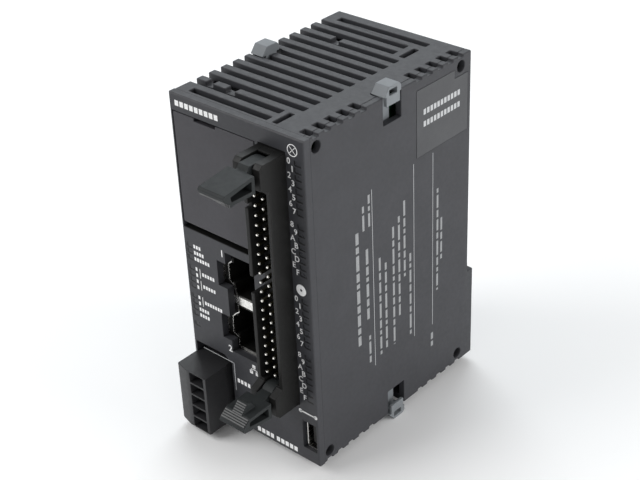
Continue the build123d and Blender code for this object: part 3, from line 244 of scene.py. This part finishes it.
# Painted shade: the pins are a darkened copy of the tip plating, standing in for the shade inside the
# header's shroud
PIN_SHADED = metal("pin_plate_painted_shade", (0.11, 0.10, 0.06, 1), 0.38)
TIP = metal("pin_tip", (1.0, 0.98, 0.92, 1), 0.34)
BRIGHT = metal("tin_plate", (0.88, 0.87, 0.84, 1), 0.24, (1.0, 0.1, 1.0))
STEEL = metal("spring_steel", (0.50, 0.50, 0.52, 1), 0.3)
WHITE_INK = printed("white_print", 0.88)
GREY_INK = printed("grey_print", 0.52, (0.98, 1.0, 1.02))
SIDE_INK = printed("side_print_grey", 0.32, (0.98, 1.0, 1.02))
FLOOR = pale_floor("pale_floor")

NODE_FINISH = {
    "case_body": CASE, "side_cover": CASE, "front_bezel": CASE, "rear_base": CASE, "connector_seal": SEAL,
    "door": DOOR, "mode_switch_knob": SWITCH, "mode_switch_body": BLACK, "card_socket": BRIGHT,
    "header_housing": HEADER, "header_pins": PIN_SHADED, "header_tails": PIN_SHADED, "latch_top": GRIP,
    "latch_bottom": GRIP, "latch_pins": STEEL,
    "jack_shield": BRIGHT, "jack_insert_1": BLACK, "jack_insert_2": BLACK, "jack_contacts_1": GOLD,
    "jack_contacts_2": GOLD, "usb_shell": BRIGHT, "usb_tongue": BLACK, "port_header": BLACK,
    "port_pins": BRIGHT, "port_tails": BRIGHT,
    "plug_body": PLUG, "plug_clamps": BRIGHT, "plug_screws": STEEL, "input_light_pipe": WINDOW,
    "output_light_pipe": WINDOW, "status_light_pipe": WINDOW, "input_lamps": LAMP, "output_lamps": LAMP,
    "status_lamps": LAMP, "io_board": BOARD, "cpu_board": BOARD, "communication_board": BOARD,
    "board_connector": BLACK, "board_bridge": BLACK, "processor_chip": CHIP, "power_capacitors": CAN,
    "power_inductor": CHIP, "output_transistors": CHIP, "expansion_connector": BLACK,
    "hook_right_top": HOOK, "hook_right_bottom": HOOK, "hook_left_top": HOOK, "hook_left_bottom": HOOK,
    "din_lever": LEVER, "lever_spring": STEEL,
}

for node, part in NODES.items():
    part.data.materials.clear()
    part.data.materials.append(NODE_FINISH[node])


# ---------------------------------------------------------------------------
# Softened copies of the moulded pieces
# ---------------------------------------------------------------------------

MERGE, FLAT_ANGLE, SHARP_ANGLE, EDGE_SEGMENTS = 1e-6, math.radians(1.0), math.radians(30.0), 2


def soften(piece, radius):
    """Round the sharp edges of a piece by a radius in millimetres and even out its shading."""
    edges = piece.modifiers.new("edges", "BEVEL")
    edges.width = radius * MM
    edges.segments = EDGE_SEGMENTS
    edges.limit_method = "ANGLE"
    edges.angle_limit = SHARP_ANGLE
    edges.use_clamp_overlap = False
    edges.miter_outer = "MITER_ARC"
    piece.data.polygons.foreach_set("use_smooth", [True] * len(piece.data.polygons))
    shading = piece.modifiers.new("shading", "WEIGHTED_NORMAL")
    shading.keep_sharp = False


def keep_inside(piece, node):
    """Fix the rounded edges into the mesh and hold its corners within the CAD node's box."""
    view = bpy.context.evaluated_depsgraph_get()
    result = piece.evaluated_get(view)
    mesh = bpy.data.meshes.new_from_object(result, preserve_all_data_layers=True, depsgraph=view)
    low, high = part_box(node)
    for corner in mesh.vertices:
        corner.co = [min(max(value, low[k]), high[k]) for k, value in enumerate(corner.co)]
    piece.modifiers.clear()
    piece.data = mesh
    piece.data.name = piece.name


def round_off(node, radius):
    """Show a copy of a CAD node with softened edges in its place."""
    mesh = NODES[node].data.copy()
    mesh.name = node + "_moulding"
    shape = bmesh.new()
    shape.from_mesh(mesh)
    bmesh.ops.remove_doubles(shape, verts=shape.verts, dist=MERGE)
    bmesh.ops.dissolve_limit(shape, angle_limit=FLAT_ANGLE, verts=shape.verts, edges=shape.edges)
    shape.to_mesh(mesh)
    shape.free()
    copy = bpy.data.objects.new(node + "_moulding", mesh)
    bpy.context.scene.collection.objects.link(copy)
    soften(copy, radius)
    keep_inside(copy, node)
    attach(copy, BODY_OF[node])
    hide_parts(node)


SOFT_EDGES = {
    "case_body": 0.22, "side_cover": 0.20, "rear_base": 0.20, "door": 0.16,
    "header_housing": 0.14, "latch_top": 0.12, "latch_bottom": 0.12, "plug_body": 0.12,
    "hook_right_top": 0.16, "hook_right_bottom": 0.16, "hook_left_top": 0.16, "hook_left_bottom": 0.16,
    "din_lever": 0.18, "mode_switch_knob": 0.08, "jack_insert_1": 0.08, "jack_insert_2": 0.08,
}
for node, radius in SOFT_EDGES.items():
    round_off(node, radius)


# ---------------------------------------------------------------------------
# Lever spring: a copy with its own mesh that rides on the housing, so its lower end stays on the housing's
# peg
# ---------------------------------------------------------------------------

spring = bpy.data.objects.new("lever_spring_coil", NODES["lever_spring"].data.copy())
spring.data.name = "lever_spring_coil"
bpy.context.scene.collection.objects.link(spring)
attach(spring, "housing")
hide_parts("lever_spring")
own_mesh(spring)


# ---------------------------------------------------------------------------
# Drawing tools: everything below is given in millimetres
# ---------------------------------------------------------------------------

FRONT_LEFT, SIDE_FRONT = span("front_bezel")[0], span("side_cover")[1]
PANEL_Y, LEFT_X, RIGHT_X = FRONT_LEFT.y, FRONT_LEFT.x, SIDE_FRONT.x
TOP_Z = SIDE_FRONT.z
INK, SUNK = 0.02, 0.01                   # ink stands out by one and reaches in by the other
RING_SIDES = 40


def add_loft(shape, first, second):
    """Join two outlines with the same number of corners into a closed body."""
    start = [shape.verts.new(corner) for corner in first]
    end = [shape.verts.new(corner) for corner in second]
    shape.faces.new(start)
    shape.faces.new(list(reversed(end)))
    for k in range(len(start)):
        after = (k + 1) % len(start)
        shape.faces.new((start[k], end[k], end[after], start[after]))


def add_block(shape, low, high):
    """A closed block between its lowest and highest corners."""
    ring = ((low[0], low[1]), (high[0], low[1]), (high[0], high[1]), (low[0], high[1]))
    add_loft(shape, [Vector((x, y, low[2])) for x, y in ring], [Vector((x, y, high[2])) for x, y in ring])


def add_ring(shape, middle, outer, inner, place, sides=RING_SIDES):
    """A flat printed ring, or a disc when the inner radius is nothing."""
    for k in range(sides):
        turn = [2 * math.pi * (k + step) / sides for step in (0, 1)]
        corners = [(outer, turn[0]), (outer, turn[1])]
        corners += [(inner, turn[1]), (inner, turn[0])] if inner else [(0, turn[0])]
        flat = [(middle[0] + reach * math.cos(angle), middle[1] + reach * math.sin(angle))
                for reach, angle in corners]
        add_loft(shape, [place(u, v, -SUNK) for u, v in flat], [place(u, v, INK) for u, v in flat])


def add_mark(shape, u, v, place):
    """A printed rectangle between two values across and two values down."""
    ring = ((u[0], v[0]), (u[1], v[0]), (u[1], v[1]), (u[0], v[1]))
    add_loft(shape, [place(a, b, -SUNK) for a, b in ring], [place(a, b, INK) for a, b in ring])


def on_front(across, down, out):
    """A point on the front panel: across from its left edge, down from its top edge."""
    return Vector((LEFT_X + across, PANEL_Y - out, TOP_Z - down))


def on_side(across, down, out):
    """A point on the right side: across from the front edge, down from the top edge."""
    return Vector((RIGHT_X + out, PANEL_Y + across, TOP_Z - down))


def build(name, shape, material, body, edge=0.0):
    """Turn a drawn shape into a piece that rides on a body."""
    bmesh.ops.recalc_face_normals(shape, faces=shape.faces)
    bmesh.ops.scale(shape, vec=(MM, MM, MM), verts=shape.verts)
    mesh = bpy.data.meshes.new(name)
    shape.to_mesh(mesh)
    shape.free()
    mesh.materials.append(material)
    piece = bpy.data.objects.new(name, mesh)
    bpy.context.scene.collection.objects.link(piece)
    if edge:
        soften(piece, edge)
    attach(piece, body)
    return piece


STROKE_SWELL, STROKE_DEPTH = 0.015, 0.5     # in the typeface's own units


def numeral(shape, character, height, middle, place):
    """Add one numeral of the built-in typeface, upright, with its middle at a point."""
    outline = bpy.data.curves.new("numeral", "FONT")
    outline.body = character
    outline.extrude = STROKE_DEPTH
    outline.offset = STROKE_SWELL
    holder = bpy.data.objects.new("numeral", outline)
    bpy.context.scene.collection.objects.link(holder)
    mesh = bpy.data.meshes.new_from_object(holder.evaluated_get(bpy.context.evaluated_depsgraph_get()))
    bpy.data.objects.remove(holder)
    bpy.data.curves.remove(outline)
    xs, ys = [v.co.x for v in mesh.vertices], [v.co.y for v in mesh.vertices]
    scale = height / (max(ys) - min(ys))
    centre_x, centre_y = (max(xs) + min(xs)) / 2, (max(ys) + min(ys)) / 2
    corners = []
    for v in mesh.vertices:
        across = middle[0] + (v.co.x - centre_x) * scale
        down = middle[1] - (v.co.y - centre_y) * scale
        corners.append(shape.verts.new(place(across, down, INK if v.co.z > 0 else -SUNK)))
    for face in mesh.polygons:
        shape.faces.new([corners[k] for k in face.vertices])
    bpy.data.meshes.remove(mesh)


# ---------------------------------------------------------------------------
# Indicator rows: painted shade lines beside the windows, and row numerals
# ---------------------------------------------------------------------------

ROW_PITCH, ROWS, NUMERAL_HEIGHT = 1.78, 8, 1.5
ROW_SETS = (("input", (5.93, 21.95)), ("output", (41.86, 57.8)))
EVEN_COLUMN, ODD_COLUMN = 37.3, 38.3
# The dark lines beside the windows are painted shade, standing in for the shaded walls of the window
# recesses
WINDOW_HALF, SHADE_LINE_WIDTH = 0.575, 0.26
WINDOW_ACROSS, STATUS_ACROSS = (39.2, 41.0), (1.35, 2.8)
STATUS_GROUPS = ((40.7, 3), (47.2, 4), (55.6, 4), (64.1, 1))     # first row, number of rows
SYMBOLS = "0123456789ABCDEF"


def add_window_shade(shape, across, down):
    """Painted shade: a dark line along the left and lower edges of a window, where the walls of its recess
    would lie in shade.
    """
    low = down + WINDOW_HALF
    add_mark(shape, (across[0] - SHADE_LINE_WIDTH, across[0]), (down - WINDOW_HALF, low), on_front)
    add_mark(shape, (across[0], across[1]), (low, low + SHADE_LINE_WIDTH), on_front)


for name, starts in ROW_SETS:
    numerals, shade_lines = bmesh.new(), bmesh.new()
    for group, start in enumerate(starts):
        for row in range(ROWS):
            down = start + row * ROW_PITCH
            column = ODD_COLUMN if row % 2 else EVEN_COLUMN
            numeral(numerals, SYMBOLS[group * ROWS + row], NUMERAL_HEIGHT, (column, down), on_front)
            add_window_shade(shade_lines, WINDOW_ACROSS, down)
    build(name + "_row_numerals", numerals, WHITE_INK, "housing")
    build(name + "_window_shade_lines", shade_lines, BLACK, "housing")

status_rows = [start + row * ROW_PITCH for start, count in STATUS_GROUPS for row in range(count)]
shade_lines = bmesh.new()
for down in status_rows:
    add_window_shade(shade_lines, STATUS_ACROSS, down)
build("status_window_shade_lines", shade_lines, BLACK, "housing")


# ---------------------------------------------------------------------------
# Print on the front: plain bars stand where the words were
# ---------------------------------------------------------------------------

PRINT_HALF, THIN_LINE = 0.5, 0.2
STATUS_START, MARK_LENGTH, BRACKET, GROUP_LABEL = 3.3, 0.8, 4.7, 5.5
FULL_LABELS = (2.9, 3.4, 5.4)
PAIR_LABELS = ((3, 4.3), (5, 4.3), (7, 5.9))     # first row of the pair, label length
LATE_LABELS = ((9, 3.4), (10, 3.4))
PORT_NUMERAL, PORT_NUMERALS = 1.9, (("1", (13.3, 39.0)), ("2", (13.4, 66.8)))
CIRCLE_RADIUS, CIRCLE_LINE, CROSS_REACH, DISC_HOLE = 1.5, 0.2, 0.55, 0.35
RING_AT, DISC_AT = (38.6, 3.1), (39.0, 39.0)
LETTER, LETTER_GAP = 0.62, 0.28


def add_label(shape, start, length, middle):
    """A row of short bars, one for each letter of a label."""
    for k in range(round(length / (LETTER + LETTER_GAP))):
        across = start + k * (LETTER + LETTER_GAP)
        add_mark(shape, (across, across + LETTER), (middle - PRINT_HALF, middle + PRINT_HALF), on_front)


print_front = bmesh.new()
for down, length in zip(status_rows, FULL_LABELS):
    add_label(print_front, STATUS_START, length, down)
for first, length in PAIR_LABELS:
    upper, lower = status_rows[first], status_rows[first + 1]
    for down in (upper, lower):
        add_label(print_front, STATUS_START, MARK_LENGTH, down)
    add_mark(print_front, (BRACKET, BRACKET + THIN_LINE), (upper - PRINT_HALF, lower + PRINT_HALF), on_front)
    add_label(print_front, GROUP_LABEL, length, (upper + lower) / 2)
for row, length in LATE_LABELS:
    add_label(print_front, STATUS_START, length, status_rows[row])
build("status_print", print_front, WHITE_INK, "housing")

marks = bmesh.new()
for character, middle in PORT_NUMERALS:
    numeral(marks, character, PORT_NUMERAL, middle, on_front)
add_ring(marks, RING_AT, CIRCLE_RADIUS, CIRCLE_RADIUS - CIRCLE_LINE, on_front)
reach, half = CIRCLE_RADIUS * CROSS_REACH, CIRCLE_LINE / 2
for lean in (-1, 1):
    tip = (RING_AT[0] + lean * reach, RING_AT[1] - reach)
    foot = (RING_AT[0] - lean * reach, RING_AT[1] + reach)
    edges = ((tip, -half), (tip, half), (foot, half), (foot, -half))
    ring = [(point[0] + shift, point[1]) for point, shift in edges]
    add_loft(marks, [on_front(u, v, -SUNK) for u, v in ring], [on_front(u, v, INK) for u, v in ring])
add_ring(marks, DISC_AT, CIRCLE_RADIUS, DISC_HOLE, on_front)
build("port_marks", marks, WHITE_INK, "housing")

# Three joined squares beside the lower jack, plain bars for the captions, a line between two discs over the
# service socket, and a bracket beside the plug
NET_AT, NET_SQUARE, NET_SPREAD, NET_RISE = (21.3, 69.9), 0.52, 1.0, 0.95
PORT_BRACKET = ((3.4, 14.3), (70.9, 79.5))
CAPTIONS = ((1.9, 9, 1.2, (1.6, 3.0)), (15.0, 4, 0.8, (75.3, 76.5)), (21.0, 4, 1.1, (87.5, 88.9)),
            (27.6, 5, 1.1, (87.5, 88.9)))     # start, count and width of the short bars, top and bottom
CAPTION_GAP = 0.4
SERVICE_AT, SERVICE_LENGTH, SERVICE_DISC, SERVICE_SIDES = (36.5, 74.9), 4.9, 0.55, 24

captions = bmesh.new()
for across, down in ((0, -NET_RISE), (-NET_SPREAD, NET_RISE), (NET_SPREAD, NET_RISE)):
    middle = (NET_AT[0] + across, NET_AT[1] + down)
    add_mark(captions, (middle[0] - NET_SQUARE, middle[0] + NET_SQUARE),
             (middle[1] - NET_SQUARE, middle[1] + NET_SQUARE), on_front)
    add_mark(captions, (middle[0] - CIRCLE_LINE / 2, middle[0] + CIRCLE_LINE / 2),
             tuple(sorted((middle[1], NET_AT[1]))), on_front)
add_mark(captions, (NET_AT[0] - NET_SPREAD, NET_AT[0] + NET_SPREAD),
         (NET_AT[1] - CIRCLE_LINE / 2, NET_AT[1] + CIRCLE_LINE / 2), on_front)
for start, count, width, down in CAPTIONS:
    for k in range(count):
        across = start + k * (width + CAPTION_GAP)
        add_mark(captions, (across, across + width), down, on_front)
add_mark(captions, (SERVICE_AT[0], SERVICE_AT[0] + SERVICE_LENGTH),
         (SERVICE_AT[1] - CIRCLE_LINE, SERVICE_AT[1] + CIRCLE_LINE), on_front)
for across in (SERVICE_AT[0], SERVICE_AT[0] + SERVICE_LENGTH):
    add_ring(captions, (across, SERVICE_AT[1]), SERVICE_DISC, 0, on_front, SERVICE_SIDES)
build("front_captions", captions, WHITE_INK, "housing")

bracket = bmesh.new()
(bracket_left, bracket_right), (bracket_top, bracket_low) = PORT_BRACKET
add_mark(bracket, (bracket_left, bracket_right), (bracket_top, bracket_top + THIN_LINE), on_front)
add_mark(bracket, (bracket_right - THIN_LINE, bracket_right), (bracket_top, bracket_low), on_front)
build("port_bracket", bracket, GREY_INK, "housing")


# ---------------------------------------------------------------------------
# Print on the right side and its seal: ruled lines and dashed bars in place of words
# ---------------------------------------------------------------------------

RULES = ((22.0, 21.4, 71.6), (37.6, 21.5, 71.4), (45.1, 21.5, 71.8))     # across, start, end
SIDE_ROWS = (                            # across, start, end, height
    (16.4, 30.6, 62.5, 1.1), (18.8, 24.5, 31.1, 0.7), (19.8, 36.5, 57.1, 0.9), (20.9, 22.3, 31.0, 0.7),
    (20.2, 61.5, 69.6, 0.7), (24.4, 41.2, 69.5, 0.7), (26.6, 43.6, 69.2, 0.7), (29.6, 35.0, 69.3, 0.7),
    (31.8, 33.1, 61.7, 0.7), (33.9, 29.7, 51.2, 0.7), (36.1, 45.6, 69.8, 0.7), (47.0, 32.2, 62.0, 0.7),
    (48.6, 41.2, 53.3, 0.7), (44.9, 74.3, 78.5, 0.9))
WORD_LENGTHS, WORD_GAP = (3.1, 1.7, 4.2, 2.3, 1.2, 3.6, 2.0), 0.7
RULE_WIDTH = 0.14

rules = bmesh.new()
for across, start, end in RULES:
    add_mark(rules, (across - RULE_WIDTH / 2, across + RULE_WIDTH / 2), (start, end), on_side)
build("side_rules", rules, GREY_INK, "housing")

side_print = bmesh.new()
for row, (across, start, end, height) in enumerate(SIDE_ROWS):
    down, word = start, row
    while down < end:
        finish_at = min(down + WORD_LENGTHS[word % len(WORD_LENGTHS)], end)
        add_mark(side_print, (across - height / 2, across + height / 2), (down, finish_at), on_side)
        down, word = finish_at + WORD_GAP, word + 1
build("side_print", side_print, SIDE_INK, "housing")

seal_low, seal_high = span("connector_seal")
SEAL_ROWS, SEAL_MARGIN, SEAL_PRINT, SEAL_DASH, SEAL_GAP = (0.36, 0.54), 2.6, 0.72, 0.9, 0.42

seal_print = bmesh.new()
for share in SEAL_ROWS:
    z = seal_high.z - (seal_high.z - seal_low.z) * share
    y = seal_low.y + SEAL_MARGIN
    while y + SEAL_DASH < seal_high.y - SEAL_MARGIN:
        add_block(seal_print, (seal_high.x - SUNK, y, z - SEAL_PRINT),
                  (seal_high.x + INK, y + SEAL_DASH, z + SEAL_PRINT))
        y += SEAL_DASH + SEAL_GAP
build("seal_print", seal_print, GREY_INK, "housing")


# ---------------------------------------------------------------------------
# Header: pointed pin tips, finger ridges on the latches and end walls of their slots
# ---------------------------------------------------------------------------

pins_low, pins_high = span("header_pins")
header_low, header_high = span("header_housing")
HEADER_X, HEADER_Z = (header_low.x + header_high.x) / 2, (header_low.z + header_high.z) / 2
PIN_PITCH, PIN_HALF, TIP_LENGTH, TIP_HALF, TIP_EDGE = 2.54, 0.32, 0.45, 0.2, 0.04
PIN_ROWS = round((pins_high.z - pins_low.z) / PIN_PITCH) + 1


def square(x, y, z, half):
    """Corners of a square that faces the front."""
    corners = ((-1, -1), (1, -1), (1, 1), (-1, 1))
    return [Vector((x + side * half, y, z + rise * half)) for side, rise in corners]


tips = bmesh.new()
for side in (-1, 1):
    for row in range(PIN_ROWS):
        x = HEADER_X + side * PIN_PITCH / 2
        z = HEADER_Z + (row - (PIN_ROWS - 1) / 2) * PIN_PITCH
        add_loft(tips, square(x, pins_low.y, z, PIN_HALF), square(x, pins_low.y - TIP_LENGTH, z, TIP_HALF))
build("pin_tips", tips, TIP, "housing", edge=TIP_EDGE)

RIDGE_PITCH, RIDGE_WIDTH, RIDGE_HEIGHT = 0.60, 0.30, 0.32
RIDGE_FACES = (((18.7, 30.3), (16.8, 28.8), 3.7),     # two points (out, offset), half width
               ((16.9, 28.8), (14.9, 26.7), 1.45))


def ridges(side):
    """Raised lines that run across the finger faces of one latch."""
    shape = bmesh.new()
    for (out_a, off_a), (out_b, off_b), half_width in RIDGE_FACES:
        length = math.hypot(out_b - out_a, off_b - off_a)
        along = ((out_b - out_a) / length, (off_b - off_a) / length)
        normal = (-along[1] * RIDGE_HEIGHT, along[0] * RIDGE_HEIGHT)
        count = int((length - RIDGE_WIDTH) / RIDGE_PITCH)
        start = (length - count * RIDGE_PITCH - RIDGE_WIDTH) / 2
        for k in range(count + 1):
            near, far = start + k * RIDGE_PITCH, start + k * RIDGE_PITCH + RIDGE_WIDTH
            foot = [(out_a + along[0] * reach, off_a + along[1] * reach) for reach in (near, far)]
            quad = [*foot, *[(out + normal[0], off + normal[1]) for out, off in reversed(foot)]]
            loops = [[Vector((HEADER_X + x, PANEL_Y - out, HEADER_Z + side * off)) for out, off in quad]
                     for x in (-half_width, half_width)]
            add_loft(shape, *loops)
    return shape


END_WALL_OUT, END_WALL_OFFSET, SLOT_HALF, WALL_EDGE = (0.35, 2.3), (33.8, 34.28), 1.92, 0.06

for side, body in ((1, "latch_top"), (-1, "latch_bottom")):
    build(body + "_ridges", ridges(side), RIDGE_HIGHLIGHT, body)
    wall = bmesh.new()
    z_low, z_high = sorted(HEADER_Z + side * offset for offset in END_WALL_OFFSET)
    add_block(wall, (HEADER_X - SLOT_HALF, PANEL_Y - END_WALL_OUT[1], z_low),
              (HEADER_X + SLOT_HALF, PANEL_Y - END_WALL_OUT[0], z_high))
    build(body + "_slot_end", wall, HEADER, "housing", edge=WALL_EDGE)


# ---------------------------------------------------------------------------
# Black strip on the sill under the door: painted shade, standing in for the shadow in the gap below the door
# ---------------------------------------------------------------------------

SILL_Z, SILL_Y, SILL_X, SILL_THICKNESS = 9.0, (-59.9, -56.0), (-20.35, 6.15), 0.14

sill = bmesh.new()
add_block(sill, (SILL_X[0], SILL_Y[0], SILL_Z), (SILL_X[1], SILL_Y[1], SILL_Z + SILL_THICKNESS))
build("door_gap_painted_shade", sill, BLACK, "housing")


# ---------------------------------------------------------------------------
# Network jacks: bright folded edge of the shield
# ---------------------------------------------------------------------------

SHIELD_FRONT = span("jack_shield")[0].y
EDGE_PATH = ((-6.7, 3.2), (-7.9, 2.1), (-7.9, -2.5), (-6.3, -3.7), (-5.9, -6.4), (-5.7, -9.0), (-5.6, -11.2),
             (-6.6, -11.9), (-7.9, -13.3), (-8.1, -18.0), (-6.2, -19.0), (-6.4, -21.9), (-4.0, -22.2),
             (0.4, -22.2))
EDGE_HALF, EDGE_DEPTHS = 0.11, (-0.02, 0.35)     # depths behind the shield's front

edge_trim = bmesh.new()
for (x_a, z_a), (x_b, z_b) in zip(EDGE_PATH, EDGE_PATH[1:]):
    length = math.hypot(x_b - x_a, z_b - z_a)
    nx, nz = (z_b - z_a) / length * EDGE_HALF, -(x_b - x_a) / length * EDGE_HALF
    quad = ((x_a - nx, z_a - nz), (x_b - nx, z_b - nz), (x_b + nx, z_b + nz), (x_a + nx, z_a + nz))
    loops = [[Vector((x, SHIELD_FRONT + depth, z)) for x, z in quad] for depth in EDGE_DEPTHS]
    add_loft(edge_trim, *loops)
build("jack_shield_edge", edge_trim, BRIGHT, "housing")


# ---------------------------------------------------------------------------
# Camera, light and floor
# ---------------------------------------------------------------------------

AZIMUTH, ELEVATION, ROLL = math.radians(43.01), math.radians(31.373), math.radians(-2.668)
TARGET, DISTANCE, SIDESTEP, LIFT = Vector((0, -30, 0)), 348.946, 2.417, 1.511
LENS, SENSOR = 78.0, 36.0
back = Vector((math.sin(AZIMUTH) * math.cos(ELEVATION), -math.cos(AZIMUTH) * math.cos(ELEVATION),
               math.sin(ELEVATION)))
right = (-back).cross(Vector((0, 0, 1))).normalized()
up = right.cross(-back)
right, up = (right * math.cos(ROLL) + up * math.sin(ROLL), up * math.cos(ROLL) - right * math.sin(ROLL))

lens = bpy.data.cameras.new("camera")
lens.lens = LENS
lens.sensor_width = SENSOR
camera = bpy.data.objects.new("camera", lens)
bpy.context.scene.collection.objects.link(camera)
eye = (TARGET + back * DISTANCE - right * SIDESTEP - up * LIFT) * MM
camera.matrix_world = Matrix.Translation(eye) @ Matrix((right, up, back)).transposed().to_4x4()
bpy.context.scene.camera = camera


def softbox(name, direction, distance, size, watts, tint=(1.0, 1.0, 1.0)):
    """A square area lamp that points at the object's middle."""
    lamp = bpy.data.lights.new(name, "AREA")
    lamp.shape = "SQUARE"
    lamp.size = size
    lamp.energy = watts
    lamp.color = tint
    holder = bpy.data.objects.new(name, lamp)
    bpy.context.scene.collection.objects.link(holder)
    outward = Vector(direction).normalized()
    holder.location = TARGET * MM + outward * distance
    holder.rotation_mode = "QUATERNION"
    holder.rotation_quaternion = outward.to_track_quat("Z", "Y")


WORLD_LIGHT, FLOOR_CELLS, FLOOR_SIZE = 0.31, 8, 4.0

softbox("key_front_left", (-0.70, -0.85, 0.85), 0.55, 0.35, 1.8)
softbox("side_rear_right", (1.0, 0.45, 0.40), 0.60, 0.40, 2.2)
softbox("top_rear_left", (-0.45, 0.55, 0.85), 0.55, 0.40, 1.75, (0.92, 0.97, 1.0))
softbox("low_fill_right", (0.95, -0.55, -0.04), 0.28, 0.12, 0.16)

world = bpy.data.worlds.new("studio")
world.use_nodes = True
world.node_tree.nodes["Background"].inputs["Color"].default_value = (1, 1, 1, 1)
world.node_tree.nodes["Background"].inputs["Strength"].default_value = WORLD_LIGHT
bpy.context.scene.world = world
bpy.context.scene.view_settings.view_transform = "Standard"

floor_mesh = bpy.data.meshes.new("floor")
floor_shape = bmesh.new()
bmesh.ops.create_grid(floor_shape, x_segments=FLOOR_CELLS, y_segments=FLOOR_CELLS, size=FLOOR_SIZE)
bmesh.ops.translate(floor_shape, vec=(0, 0, CAD_BOX[0][2]), verts=floor_shape.verts)
floor_shape.to_mesh(floor_mesh)
floor_mesh.materials.append(FLOOR)
floor = bpy.data.objects.new("floor", floor_mesh)
bpy.context.scene.collection.objects.link(floor)
